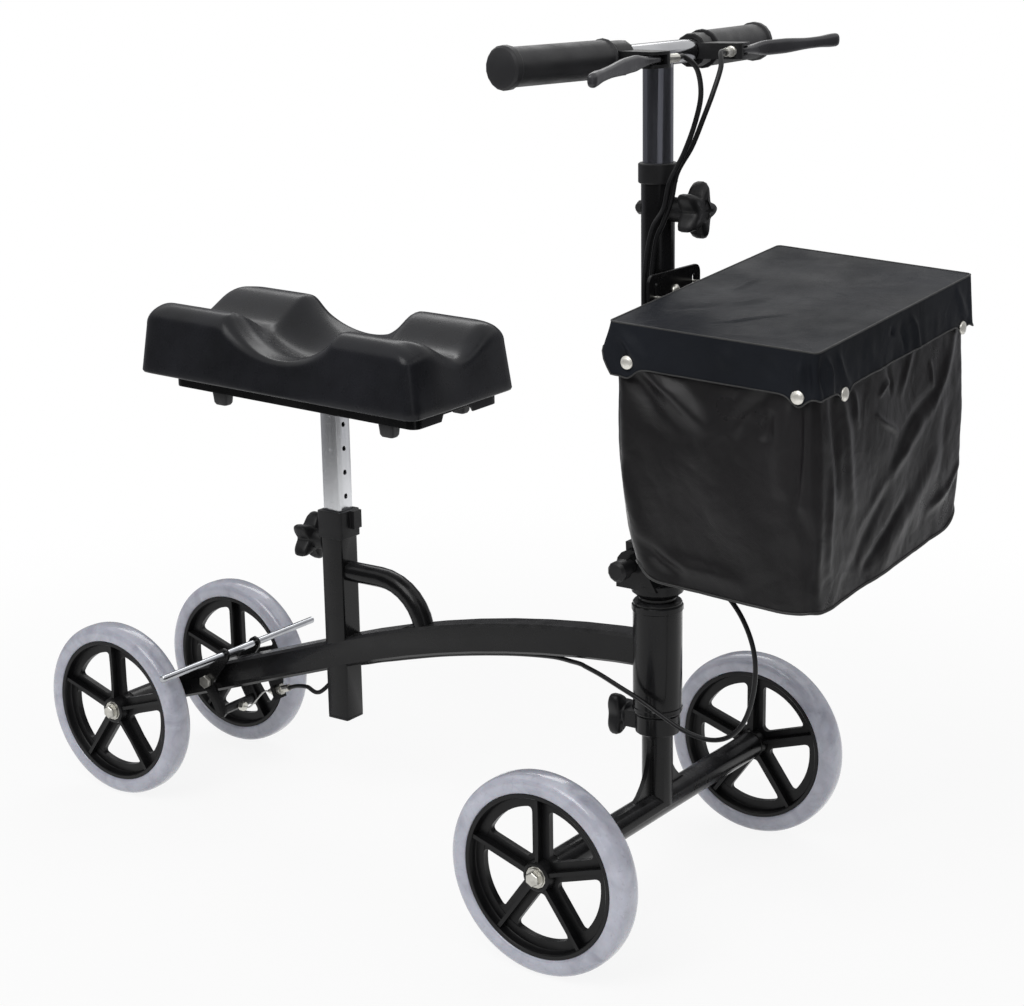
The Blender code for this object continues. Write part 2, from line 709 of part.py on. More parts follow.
def adjuster_place():
    """Where the rear cable adjuster passes through its tab, before the tab is tilted."""
    return Vector((TAB_X, 0, beam_height(TAB_X) - BEAM_HEIGHT / 2 - TAB_DEPTH / 2 - 2 * MM))


def along_tail(item):
    """Tilts a form with the beam's tail, about the tab's root."""
    root = Vector((TAB_X, 0, beam_height(TAB_X) - BEAM_HEIGHT / 2))
    tilt = Matrix.Rotation(-beam_slope(), 4, "Y")
    item.data.transform(Matrix.Translation(root) @ tilt @ Matrix.Translation(-root))
    return item


def seat_tube_sleeve():
    """Moulded sleeve over the seat tube's top, with a lug on its front face."""
    inner = SEAT_TUBE_SIZE / 2 + FIT_GAP
    outer = inner + SLEEVE_WALL
    top = SEAT_TUBE_TOP + FIT_GAP + SLEEVE_LIP
    low = top - SLEEVE_LENGTH
    plan = rounded_rectangle((SEAT_TUBE_X - outer, -outer), (SEAT_TUBE_X + outer, outer), 3 * MM, 3)
    shell = extruded(plan, low, top, "Z")
    lug = box((SEAT_TUBE_X + outer - 1 * MM, -1 * MM, top - 20 * MM),
              (SEAT_TUBE_X + outer + 6 * MM, 12 * MM, top))
    hollow = box((SEAT_TUBE_X - inner, -inner, low - PAST),
                 (SEAT_TUBE_X + inner, inner, SEAT_TUBE_TOP + FIT_GAP))
    post = POST_SIZE / 2 + FIT_GAP
    mouth = box((SEAT_TUBE_X - post, -post, low), (SEAT_TUBE_X + post, post, top + PAST))
    screw = cylinder(KNOB_SCREW_RADIUS + FIT_GAP, SEAT_TUBE_X - 30 * MM, SEAT_TUBE_X, "X",
                     (0, 0, SEAT_KNOB_HEIGHT), FACETS_TINY)
    keep(cut(joined(shell, lug), hollow, mouth, screw), "seat_tube_sleeve", "frame", "plastic")


def seat_tube_plug():
    """Plug pushed into the seat tube's lower end, with a flat flange under it."""
    inner = SEAT_TUBE_SIZE / 2 - SEAT_TUBE_WALL - FIT_GAP
    outer = SEAT_TUBE_SIZE / 2
    low = SEAT_TUBE_BOTTOM - FIT_GAP
    flange = extruded(
        rounded_rectangle((SEAT_TUBE_X - outer, -outer), (SEAT_TUBE_X + outer, outer), 2 * MM, 2),
        low - 2.5 * MM, low, "Z")
    stub = box((SEAT_TUBE_X - inner, -inner, low - 1 * MM), (SEAT_TUBE_X + inner, inner, low + 14 * MM))
    keep(joined(flange, stub), "seat_tube_plug", "frame", "plastic")


def headset():
    """Two cups pressed into the head tube, each with its flange outside."""
    spigot = HEAD_BORE_RADIUS - FIT_GAP
    bore = STEERER_RADIUS + FIT_GAP
    for name, face, sign in (("headset_cup_lower", HEAD_TUBE_BOTTOM - FIT_GAP, -1),
                             ("headset_cup_upper", HEAD_TUBE_TOP + FIT_GAP, 1)):
        profile = [
            (bore, face + sign * CUP_FLANGE), (HEAD_TUBE_RADIUS - 2 * MM, face + sign * CUP_FLANGE),
            (HEAD_TUBE_RADIUS, face + sign * (CUP_FLANGE - 1.5 * MM)), (HEAD_TUBE_RADIUS, face),
            (spigot, face), (spigot, face - sign * CUP_SPIGOT), (bore, face - sign * CUP_SPIGOT)]
        keep(turned(profile, FACETS_LARGE), name, "frame", "zinc")


def front_fork():
    """Steerer, fork tube with its curved gussets, and the front axle tube."""
    low = WHEEL_RADIUS
    tube_top = FORK_TUBE_TOP
    top = STEERER_TOP
    stem = turned([
        (0, low), (FORK_TUBE_RADIUS, low), (FORK_TUBE_RADIUS, tube_top - 1 * MM),
        (FORK_TUBE_RADIUS - 1 * MM, tube_top), (STEERER_RADIUS, tube_top), (STEERER_RADIUS, top),
        (0, top)], FACETS_MEDIUM)
    rise = WHEEL_RADIUS + AXLE_TUBE_RADIUS * 0.6
    half = GUSSET_THICKNESS / 2
    gussets = []
    for _, side in SIDES:
        inner = FORK_TUBE_RADIUS * 0.5
        curve = []
        for index in range(9):
            angle = math.pi / 2 * index / 8
            reach = FORK_TUBE_RADIUS + (GUSSET_SPREAD - FORK_TUBE_RADIUS) * (1 - math.cos(angle))
            height = rise + GUSSET_HEIGHT * (1 - math.sin(angle))
            curve.append((side * reach, height))
        outline = [(side * inner, rise + GUSSET_HEIGHT)] + curve + [(side * inner, rise)]
        gussets.append(extruded(outline, -half, half, "X"))
    fork = joined(stem, axle_tube(0, FRONT_HALF_TRACK), *gussets)
    fork = cut(fork, *axle_bores(0, FRONT_HALF_TRACK))
    keep(fork, "front_fork", "steering", "frame")


def clamp_collar():
    """Split collar at the top of the fork, with a slit beside the ear that its knob's screw enters."""
    low = FORK_TUBE_TOP + FIT_GAP
    high = HEAD_TUBE_BOTTOM - 2 * FIT_GAP - CUP_FLANGE
    half = COLLAR_EAR_WIDTH / 2
    collar = cylinder(COLLAR_RADIUS, low, high, steps=FACETS_LARGE, edge=1 * MM)
    ear = box((-COLLAR_EAR_REACH, -half, low + 1 * MM), (-COLLAR_RADIUS * 0.6, half, high - 1 * MM))
    bore = cylinder(STEERER_RADIUS + FIT_GAP, low - PAST, high + PAST, steps=FACETS_MEDIUM)
    reach = -COLLAR_EAR_REACH - PAST
    slit = box((reach, COLLAR_SLIT_Y - COLLAR_SLIT / 2, low - PAST),
               (0, COLLAR_SLIT_Y + COLLAR_SLIT / 2, high + PAST))
    screw = cylinder(KNOB_SCREW_RADIUS + FIT_GAP, reach, -COLLAR_RADIUS * 0.75, "X",
                     (0, 0, COLLAR_KNOB_HEIGHT), FACETS_TINY)
    keep(cut(joined(collar, ear), bore, slit, screw), "clamp_collar", "steering", "frame")


def fold_yoke():
    """Flared base on the steerer with two ears for the fold bolt."""
    low = HEAD_TUBE_TOP + 2 * FIT_GAP + CUP_FLANGE
    base = turned([
        (0, low), (YOKE_NECK_RADIUS, low), (YOKE_NECK_RADIUS, low + YOKE_NECK_HEIGHT * 0.5),
        (YOKE_RADIUS, low + YOKE_NECK_HEIGHT + 3 * MM), (YOKE_RADIUS, YOKE_PLATE_TOP),
        (0, YOKE_PLATE_TOP)], FACETS_LARGE)
    inside = LUG_WIDTH / 2 + FIT_GAP
    outside = inside + YOKE_EAR_THICKNESS
    nose = LUG_NOSE_RADIUS
    outline = arc((FOLD_X, FOLD_Z), nose, 0, 180, 7)
    outline = [(FOLD_X + nose + 14 * MM, YOKE_PLATE_TOP - 4 * MM)] + outline
    outline.append((FOLD_X - nose, YOKE_PLATE_TOP - 4 * MM))
    ears = [extruded(outline, min(side * inside, side * outside), max(side * inside, side * outside))
            for _, side in SIDES]
    bore = cylinder(STEERER_RADIUS + FIT_GAP, low - PAST, STEERER_TOP + FIT_GAP, steps=FACETS_MEDIUM)
    hole = cylinder(FOLD_BOLT_RADIUS + FIT_GAP, -outside - PAST, outside + PAST, "Y",
                    (FOLD_X, 0, FOLD_Z), FACETS_TINY)
    keep(cut(joined(base, *ears), bore, hole), "fold_yoke", "steering", "frame")


def fold_bolt():
    """Bolt through the yoke and the column's lug, headed on the left."""
    outside = LUG_WIDTH / 2 + FIT_GAP + YOKE_EAR_THICKNESS + FIT_GAP
    place = (FOLD_X, 0, FOLD_Z)
    shank = cylinder(FOLD_BOLT_RADIUS, -outside - 2 * MM, outside + 1 * MM, "Y", place, FACETS_TINY)
    head = cylinder(FOLD_BOLT_RADIUS * 1.8, outside, outside + 6 * MM, "Y", place, 6)
    keep(joined(shank, head), "fold_bolt", "steering", "zinc")


def fold_knob():
    """Round knob on the fold bolt's right end, on a narrow boss."""
    outside = LUG_WIDTH / 2 + FIT_GAP + YOKE_EAR_THICKNESS + FIT_GAP
    neck = outside + FOLD_KNOB_STANDOFF
    far = neck + FOLD_KNOB_LENGTH
    profile = [
        (0, -outside - 2 * MM - FIT_GAP), (FOLD_BOLT_RADIUS + FIT_GAP, -outside - 2 * MM - FIT_GAP),
        (FOLD_BOLT_RADIUS + FIT_GAP, -outside), (FOLD_BOLT_RADIUS + 2.5 * MM, -outside),
        (FOLD_BOLT_RADIUS + 2.5 * MM, -neck), (FOLD_KNOB_RADIUS - 1.5 * MM, -neck),
        (FOLD_KNOB_RADIUS, -neck - 2 * MM), (FOLD_KNOB_RADIUS, -far + 3 * MM),
        (FOLD_KNOB_RADIUS - 3 * MM, -far), (0, -far)]
    keep(turned(profile, FACETS_SMALL, "Y", (FOLD_X, 0, FOLD_Z)), "fold_knob", "fold_knob", "plastic", 30)


def lower_stem():
    """Column tube with the fold lug welded into its lower end."""
    nose = LUG_NOSE_RADIUS
    face = LOWER_STEM_RADIUS * 0.98
    outline = [
        (face, YOKE_PLATE_TOP + FIT_GAP), (face, LOWER_STEM_BOTTOM), (FOLD_X - nose * 0.6, LOWER_STEM_BOTTOM)]
    outline += arc((FOLD_X, FOLD_Z), nose, 125, 265, 7)
    lug = extruded(outline, -LUG_WIDTH / 2, LUG_WIDTH / 2)
    mouth = STEM_COLLAR_TOP - STEM_COLLAR_LIP - FIT_GAP
    shell = cylinder(LOWER_STEM_RADIUS, LOWER_STEM_BOTTOM - 3 * MM, mouth, steps=FACETS_MEDIUM)
    stem = joined(lug, shell, stem_nut())
    bore = cylinder(UPPER_STEM_RADIUS + FIT_GAP, LOWER_STEM_BOTTOM + 10 * MM, mouth + PAST,
                    steps=FACETS_MEDIUM)
    hole = cylinder(FOLD_BOLT_RADIUS + FIT_GAP, -LUG_WIDTH, LUG_WIDTH, "Y", (FOLD_X, 0, FOLD_Z), FACETS_TINY)
    screw = cylinder(KNOB_SCREW_RADIUS + FIT_GAP, UPPER_STEM_RADIUS - 3 * MM, 30 * MM, "X",
                     (0, 0, STEM_KNOB_HEIGHT), FACETS_TINY)
    keep(cut(stem, bore, hole, screw), "lower_stem", "column", "frame")


def stem_collar():
    """Moulded collar on the lower stem's mouth, which guides the upper stem."""
    outer = STEM_COLLAR_RADIUS
    inner = LOWER_STEM_RADIUS + FIT_GAP
    guide = UPPER_STEM_RADIUS + FIT_GAP
    low = STEM_COLLAR_BOTTOM
    top = STEM_COLLAR_TOP
    lip = top - STEM_COLLAR_LIP
    profile = [
        (inner, low), (outer - 0.8 * MM, low), (outer, low + 1 * MM), (outer, top - 1 * MM),
        (outer - 1 * MM, top), (guide, top), (guide, lip), (inner, lip)]
    keep(turned(profile, FACETS_MEDIUM), "stem_collar", "column", "plastic")


def stem_nut():
    """Domed nut welded to the lower stem's rear face, opposite the star knob."""
    wall = -LOWER_STEM_RADIUS + 0.8 * MM
    profile = [
        (0, wall - 9 * MM), (3 * MM, wall - 8.4 * MM), (5.2 * MM, wall - 6.5 * MM), (6 * MM, wall - 5 * MM),
        (6.8 * MM, wall - 4.8 * MM), (6.8 * MM, wall), (0, wall)]
    return turned(profile, FACETS_TINY, "X", (0, 0, STEM_KNOB_HEIGHT))


def swept(distance):
    """Centre of the handlebar at a distance along it from the middle, on the left side."""
    if distance <= SWEEP_START:
        return Vector((0, distance, HANDLEBAR_HEIGHT))
    angle = min((distance - SWEEP_START) / SWEEP_BEND, SWEEP_ANGLE)
    x = -SWEEP_BEND * (1 - math.cos(angle))
    y = SWEEP_START + SWEEP_BEND * math.sin(angle)
    rest = distance - SWEEP_START - SWEEP_BEND * angle
    return Vector((x - rest * math.sin(angle), y + rest * math.cos(angle), HANDLEBAR_HEIGHT))


def handlebar():
    """Upper stem tube with the swept bar welded across its top."""
    stops = [0, SWEEP_START] + [SWEEP_START + SWEEP_BEND * SWEEP_ANGLE * k / 3 for k in (1, 2, 3)]
    stops.append(HANDLEBAR_HALF_WIDTH)
    left = [swept(stop) for stop in stops]
    right = [Vector((point.x, -point.y, point.z)) for point in reversed(left[1:])]
    bar = tube(right + left, HANDLEBAR_RADIUS, FACETS_MEDIUM)
    low = STEM_COLLAR_TOP - UPPER_STEM_INSERT
    stem = cylinder(UPPER_STEM_RADIUS, low, HANDLEBAR_HEIGHT, steps=FACETS_MEDIUM)
    bore = cylinder(UPPER_STEM_RADIUS - UPPER_STEM_WALL, low - PAST, HANDLEBAR_HEIGHT - 20 * MM,
                    steps=FACETS_MEDIUM)
    keep(cut(joined(stem, bar), bore), "handlebar", "handlebar", "chrome")


def on_bar(item, side, distance):
    """Places a form, built along Y about the origin, on the bar of one side."""
    place = swept(distance)
    turn = Matrix.Rotation(SWEEP_ANGLE, 4, "Z")
    item.data.transform(Matrix.Diagonal((1, side, 1, 1)) @ Matrix.Translation(place) @ turn)
    if side < 0:
        item.data.flip_normals()
    return item


def grip_start():
    return HANDLEBAR_HALF_WIDTH + 4 * MM - GRIP_LENGTH


def grips():
    inner = HANDLEBAR_RADIUS + FIT_GAP
    flange = GRIP_FLANGE_RADIUS
    for name, side in SIDES:
        end = GRIP_LENGTH
        cap = end - 4 * MM + FIT_GAP
        profile = [
            (0, cap), (inner, cap), (inner, 0), (GRIP_RADIUS + 1 * MM, 0),
            (GRIP_RADIUS + 1.5 * MM, 2 * MM), (GRIP_RADIUS, 4 * MM), (GRIP_RADIUS, end - 12 * MM),
            (flange, end - 10 * MM), (flange, end - 4 * MM),
            (flange - 2 * MM, end - 1.5 * MM), (flange - 7 * MM, end), (0, end)]
        shape = turned(profile, FACETS_LARGE, "Y")
        keep(on_bar(shape, side, grip_start()), name + "_grip", "handlebar", "grip")


def lever_station():
    """Distance of the lever clamp's middle along the bar."""
    return grip_start() - CLAMP_TO_GRIP - CLAMP_WIDTH / 2


def lever_clamps():
    """Clamp ring on the bar with a perch that reaches forward to the lever's pin."""
    half = CLAMP_WIDTH / 2
    for name, side in SIDES:
        shell = cylinder(CLAMP_RADIUS, -half, half, "Y", (0, 0, 0), FACETS_SMALL, 1 * MM)
        upper = LEVER_THICKNESS / 2 + FIT_GAP
        fork = extruded(
            rounded_rectangle((CLAMP_RADIUS * 0.4, -half - PERCH_OFFSET), (LEVER_REACH + 8 * MM, half),
                              6 * MM, 3), -upper - 3 * MM, upper + 3 * MM, "Z")
        body_block = joined(shell, fork)
        space = box((LEVER_REACH - 12 * MM, -half + 2 * MM, -upper),
                    (LEVER_REACH + 40 * MM, half + 20 * MM, upper))
        bore = cylinder(HANDLEBAR_RADIUS + FIT_GAP, -2 * CLAMP_WIDTH, 2 * CLAMP_WIDTH, "Y",
                        steps=FACETS_MEDIUM)
        pin = cylinder(LEVER_PIVOT_RADIUS, -upper - 1 * MM, upper + 1 * MM, "Z",
                       (LEVER_REACH, 0, 0), FACETS_TINY)
        thread = cylinder(ADJUSTER_RADIUS * 0.75 + FIT_GAP, -half - 20 * MM, -half + 10 * MM, "Y",
                          (LEVER_REACH, 0, 0), FACETS_TINY)
        shape = joined(cut(body_block, space, bore, thread), pin)
        keep(on_bar(shape, side, lever_station()), name + "_lever_clamp", "handlebar", "plastic")


def lever_pivot(side):
    """Pivot axis of one brake lever."""
    place = swept(lever_station())
    turn = Matrix.Rotation(SWEEP_ANGLE, 3, "Z")
    point = place + turn @ Vector((LEVER_REACH, 0, 0))
    return Vector((point.x, side * point.y, point.z))


def levers():
    """Brake levers: a curved blade from the pin to a ball at the tip."""
    half = LEVER_THICKNESS / 2
    for name, side in SIDES:
        front, rear = [], []
        for index in range(9):
            t = index / 8
            along = LEVER_SPAN * t
            x = LEVER_REACH + LEVER_TIP_OFFSET * math.sin(t * math.pi / 2) ** 1.3
            width = 6.5 * MM - 2 * MM * t
            front.append((x + width, along))
            rear.append((x - width, along))
        nose = arc((LEVER_REACH, 0), 6.5 * MM, 180, 360, 6)
        outline = front + list(reversed(rear)) + nose[1:-1]
        blade = extruded(outline, -half + 0.6 * MM, half - 0.6 * MM, "Z")
        tip = Vector((LEVER_REACH + LEVER_TIP_OFFSET, LEVER_SPAN, 0))
        steps = 6
        profile = [(0, -LEVER_BALL_RADIUS)]
        for index in range(1, steps):
            angle = math.pi * index / steps
            profile.append((LEVER_BALL_RADIUS * math.sin(angle), -LEVER_BALL_RADIUS * math.cos(angle)))
        profile.append((0, LEVER_BALL_RADIUS))
        ball = turned(profile, FACETS_TINY, "Z", tip)
        pin = cylinder(LEVER_PIVOT_RADIUS + FIT_GAP, -half - PAST, half + PAST, "Z",
                       (LEVER_REACH, 0, 0), FACETS_TINY)
        shape = cut(joined(blade, ball), pin)
        keep(on_bar(shape, side, lever_station()), name + "_brake_lever", name + "_lever", "plastic")
        place = -CLAMP_WIDTH / 2 - PERCH_OFFSET - FIT_GAP
        barrel = turned([
            (0, place + 8 * MM), (ADJUSTER_RADIUS * 0.75, place + 8 * MM), (ADJUSTER_RADIUS * 0.75, place),
            (ADJUSTER_RADIUS * 1.3, place), (ADJUSTER_RADIUS * 1.3, place - 3 * MM),
            (ADJUSTER_RADIUS, place - 3.5 * MM), (ADJUSTER_RADIUS, place - ADJUSTER_LENGTH),
            (0, place - ADJUSTER_LENGTH)], FACETS_TINY, "Y", (LEVER_REACH, 0, 0))
        keep(on_bar(barrel, side, lever_station()), name + "_cable_adjuster", "handlebar", "zinc")


def seat_post():
    """Square post with a row of holes through its front and rear walls."""
    half = POST_SIZE / 2
    top = PAD_BOTTOM - PLATE_THICKNESS - 2 * FIT_GAP
    post = extruded(
        rounded_rectangle((SEAT_TUBE_X - half, -half), (SEAT_TUBE_X + half, half), 2 * MM, 2),
        POST_BOTTOM, top, "Z")
    inner = half - POST_WALL
    cutters = [box((SEAT_TUBE_X - inner, -inner, POST_BOTTOM - PAST),
                   (SEAT_TUBE_X + inner, inner, top - 3 * MM))]
    for index in range(POST_HOLE_COUNT):
        height = POST_HOLE_FIRST + POST_HOLE_PITCH * index
        cutters.append(cylinder(POST_HOLE_RADIUS, SEAT_TUBE_X - POST_SIZE, SEAT_TUBE_X + POST_SIZE, "X",
                                (0, 0, height), FACETS_TINY))
    keep(cut(post, *cutters), "seat_post", "seat", "chrome")


def pad_plate():
    """Steel plate under the pad, with a square socket over the post's top."""
    top = PAD_BOTTOM - FIT_GAP
    low = top - PLATE_THICKNESS
    rear = PAD_FRONT_X - PAD_LENGTH + PLATE_REAR_INSET
    half = PAD_WIDTH / 2 - PLATE_SIDE_INSET
    outline = rounded_rectangle((rear, -half), (PAD_FRONT_X - PLATE_FRONT_INSET, half), 10 * MM, 3)
    plate = extruded(outline, low, top, "Z")
    inner = POST_SIZE / 2 + FIT_GAP
    outer = inner + 3 * MM
    foot = low - SOCKET_DEPTH
    socket = box((SEAT_TUBE_X - outer, -outer, foot), (SEAT_TUBE_X + outer, outer, low + 2 * MM))
    hollow = box((SEAT_TUBE_X - inner, -inner, foot - PAST), (SEAT_TUBE_X + inner, inner, low))
    keep(cut(joined(plate, socket, *pad_blocks()), hollow), "pad_plate", "seat", "frame")


def pad_blocks():
    """Four blocks under the plate, near its corners, a little smaller at their feet."""
    top = PAD_BOTTOM - PLATE_THICKNESS + 1 * MM
    blocks = []
    middle = PAD_FRONT_X - PAD_LENGTH / 2
    for x in (middle - 96 * MM, middle + 132 * MM):
        for _, side in SIDES:
            rings = []
            for height, share, corner in ((top - BLOCK_HEIGHT, 0.42, 3 * MM), (top, 0.5, 4 * MM)):
                u, v = BLOCK_LENGTH * share, BLOCK_WIDTH * share
                y = side * BLOCK_SPREAD
                plan = rounded_rectangle((x - u, y - v), (x + u, y + v), corner, 2)
                rings.append([Vector((*point, height)) for point in plan])
            blocks.append(lofted(rings))
    return blocks


def pad_height(x, y):
    """Height of the pad's crown: four humps round a crosswise dip and a lengthwise trough."""
    middle = PAD_FRONT_X - PAD_LENGTH / 2
    across = (x - middle - 14 * MM) / (82 * MM)
    dip = 0.5 + 0.5 * math.cos(math.pi * max(-1, min(1, across)))
    along = y / (PAD_WIDTH / 2 - 24 * MM)
    trough = 0.5 + 0.5 * math.cos(math.pi * max(-1, min(1, along)))
    return PAD_HUMP - PAD_DIP * dip - PAD_TROUGH * trough * (1 - 0.35 * dip)


def pad_outline(inset):
    """Plan of the pad about its middle, drawn in by the inset, with points along its sides too."""
    corner = max(PAD_CORNER - inset * 0.6, 6 * MM)
    reach = (PAD_LENGTH / 2 - inset - corner, PAD_WIDTH / 2 - inset - corner)
    centres = [(sx * reach[0], sy * reach[1]) for sx, sy in ((1, 1), (-1, 1), (-1, -1), (1, -1))]
    outline = []
    for quarter, centre in enumerate(centres):
        outline += arc(centre, corner, 90 * quarter, 90 * quarter + 90, 3)
        following = centres[(quarter + 1) % 4]
        along = Vector(following) - Vector(centre)
        parts = PAD_SIDE_PARTS if quarter % 2 == 0 else PAD_END_PARTS
        end = Vector(outline[-1])
        outline += [tuple(end + along * k / parts) for k in range(1, parts)]
    return outline


def pad_ring(outline, drop):
    """The outline laid on the pad's crown, lowered by the drop."""
    middle = PAD_FRONT_X - PAD_LENGTH / 2
    return [Vector((middle + u, v, PAD_BOTTOM + pad_height(middle + u, v) - drop)) for u, v in outline]


def knee_pad():
    """Moulded cushion: drawn-in sides, round edges and a contoured crown."""
    middle = PAD_FRONT_X - PAD_LENGTH / 2
    rings = []
    for height, inset in ((0, 1.5 * MM), (4 * MM, 0)):
        rings.append([Vector((middle + u, v, PAD_BOTTOM + height)) for u, v in pad_outline(inset)])
    for step in range(5):
        angle = math.pi / 2 * step / 4
        inset = PAD_DRAFT + PAD_EDGE * (1 - math.cos(angle))
        rings.append(pad_ring(pad_outline(inset), PAD_EDGE * (1 - math.sin(angle))))
    edge = pad_outline(PAD_DRAFT + PAD_EDGE)
    for step in range(1, PAD_CROWN_RINGS):
        share = step / PAD_CROWN_RINGS
        rings.append(pad_ring([(u * (1 - 0.62 * share), v * (1 - share)) for u, v in edge], 0))
    keep(lofted(rings), "knee_pad", "seat", "pad", 60)


def bag_outline(z, inset=0.0):
    """Plan of the bag at a height, drawn in from its walls by the inset."""
    t = (BAG_TOP - z) / (BAG_TOP - BAG_BOTTOM)
    back = BAG_BACK_X + BAG_BACK_TAPER * t + inset
    front = BAG_BACK_X + BAG_DEPTH - BAG_FRONT_TAPER * t - inset
    side = BAG_HALF_WIDTH - BAG_SIDE_TAPER * t - inset
    corner = max(BAG_CORNER - inset * 0.3, 5 * MM)
    return rounded_rectangle((back, -side), (front, side), corner, 3)


def bag_shell(wall, top):
    """Rings of the bag's outer or inner face, from the rounded bottom up."""
    rings = []
    floor = BAG_BOTTOM + wall
    for step in range(4):
        angle = math.pi / 2 * step / 3
        inset = wall + BAG_BOTTOM_ROUND * (1 - math.sin(angle)) * 0.9
        height = floor + BAG_BOTTOM_ROUND * (1 - math.cos(angle))
        rings.append([Vector((u, v, height)) for u, v in bag_outline(height, inset)])
    rings.append([Vector((u, v, top)) for u, v in bag_outline(top, wall)])
    return rings


def bag_body():
    """Open cloth bag with round bottom edges and two notches for its hooks."""
    outer = lofted(bag_shell(0, BAG_TOP))
    inner = lofted(bag_shell(BAG_WALL, BAG_TOP + 10 * MM))
    notches = []
    for _, side in SIDES:
        y = side * HOOK_SPACING / 2
        low = wire_height() - WIRE_RADIUS - FIT_GAP
        notches.append(box((BAG_BACK_X - PAST, y - 4 * MM, low),
                           (BAG_BACK_X + 2 * PAST, y + 4 * MM, BAG_TOP + PAST)))
    keep(cut(outer, inner, *notches), "bag_body", "column", "bag")


def wire_height():
    return BAG_TOP - WIRE_RADIUS - 5 * MM


def bag_wire():
    """Wire ring inside the bag's mouth, with two hooks through the bracket's slots."""
    height = wire_height()
    inset = BAG_WALL + FIT_GAP + WIRE_RADIUS
    ring_points = [Vector((u, v, height)) for u, v in bag_outline(height, inset)]
    shape = bmesh.new()
    rows = []
    count = len(ring_points)
    sides = 6
    for index, point in enumerate(ring_points):
        along = (ring_points[(index + 1) % count] - ring_points[index - 1]).normalized()
        outward = along.cross(Vector((0, 0, 1)))
        rows.append([shape.verts.new(point + WIRE_RADIUS * (
            outward * math.cos(math.tau * k / sides) + Vector((0, 0, 1)) * math.sin(math.tau * k / sides)))
            for k in range(sides)])
    for index, row in enumerate(rows):
        after = rows[(index + 1) % count]
        for k in range(sides):
            shape.faces.new((row[k], after[k], after[(k + 1) % sides], row[(k + 1) % sides]))
    wire = form(shape)
    start = BAG_BACK_X + inset + 0.5 * MM
    behind = bracket_back() - WIRE_RADIUS - FIT_GAP
    hooks = []
    for _, side in SIDES:
        y = side * HOOK_SPACING / 2
        route = [(start, y, height), (behind + 4 * MM, y, height), (behind + 1 * MM, y, height - 1 * MM),
                 (behind, y, height - 4 * MM), (behind, y, height - 10 * MM)]
        hooks.append(tube(route, HOOK_RADIUS, sides))
    keep(joined(wire, *hooks), "bag_wire", "column", "zinc")


def bracket_back():
    return LOWER_STEM_RADIUS + FIT_GAP


def basket_bracket():
    """Plate on the column's front with round upper corners and two pairs of tall slots."""
    back = bracket_back()
    half = BRACKET_WIDTH / 2
    low = BAG_TOP - BRACKET_BELOW_BAG_TOP
    high = BAG_TOP + BRACKET_ABOVE_BAG_TOP
    plate = extruded(rounded_rectangle((-half, low), (half, high), BRACKET_CORNER, 4),
                     back, back + BRACKET_THICKNESS, "X")
    cutters = []
    for _, side in SIDES:
        y = side * HOOK_SPACING / 2
        for bottom in (wire_height() - SLOT_HEIGHT / 2 + SLOT_RISE,
                       wire_height() - SLOT_HEIGHT / 2 + SLOT_RISE + SLOT_SPACING):
            cutters.append(box((back - PAST, y - SLOT_WIDTH / 2, bottom),
                               (back + BRACKET_THICKNESS + PAST, y + SLOT_WIDTH / 2, bottom + SLOT_HEIGHT)))
    bolt_place = (0, 0, high - BRACKET_BOLT_DROP)
    cutters.append(cylinder(BRACKET_BOLT_RADIUS + FIT_GAP, back - PAST, back + BRACKET_THICKNESS + PAST, "X",
                            bolt_place, FACETS_TINY))
    keep(cut(plate, *cutters), "basket_bracket", "column", "frame")
    face = back + BRACKET_THICKNESS + FIT_GAP
    start = back + FIT_GAP
    bolt = turned([
        (0, start), (BRACKET_BOLT_RADIUS, start), (BRACKET_BOLT_RADIUS, face), (6 * MM, face),
        (6 * MM, face + 1.5 * MM), (3.5 * MM, face + 4 * MM), (0, face + 4 * MM)],
        FACETS_SMALL, "X", bolt_place)
    keep(bolt, "bracket_bolt", "column", "zinc")


def bag_lid():
    """Stiff lid over the bag's mouth, with a skirt at its front and sides."""
    back = BAG_BACK_X - LID_BACK_OVERHANG
    front = BAG_BACK_X + BAG_DEPTH + LID_GAP + LID_SKIRT_WALL
    side = BAG_HALF_WIDTH + LID_GAP + LID_SKIRT_WALL
    low = BAG_TOP + FIT_GAP
    high = low + LID_THICKNESS
    corner = BAG_CORNER + LID_GAP + LID_SKIRT_WALL
    bottom = BAG_TOP - LID_SKIRT

    def plan(grow, height, inset=0.0):
        bend = corner - inset
        centre = (front + grow - corner, side + grow - corner)
        outline = arc(centre, bend, 0, 90, 4)
        outline += [(back, side + grow - inset), (back, -(side + grow - inset))]
        outline += arc((centre[0], -centre[1]), bend, 270, 360, 4)
        return [Vector((u, v, height)) for u, v in outline]

    shell = lofted([plan(LID_FLARE, bottom), plan(0, low), plan(0, high - 1 * MM), plan(-1 * MM, high)])
    hollow = []
    for outline in (plan(LID_FLARE, bottom - 1 * MM, LID_SKIRT_WALL), plan(0, low, LID_SKIRT_WALL)):
        hollow.append([point if point.x > back else point - Vector((PAST, 0, 0)) for point in outline])
    keep(cut(shell, lofted(hollow)), "bag_lid", "bag_lid", "bag")


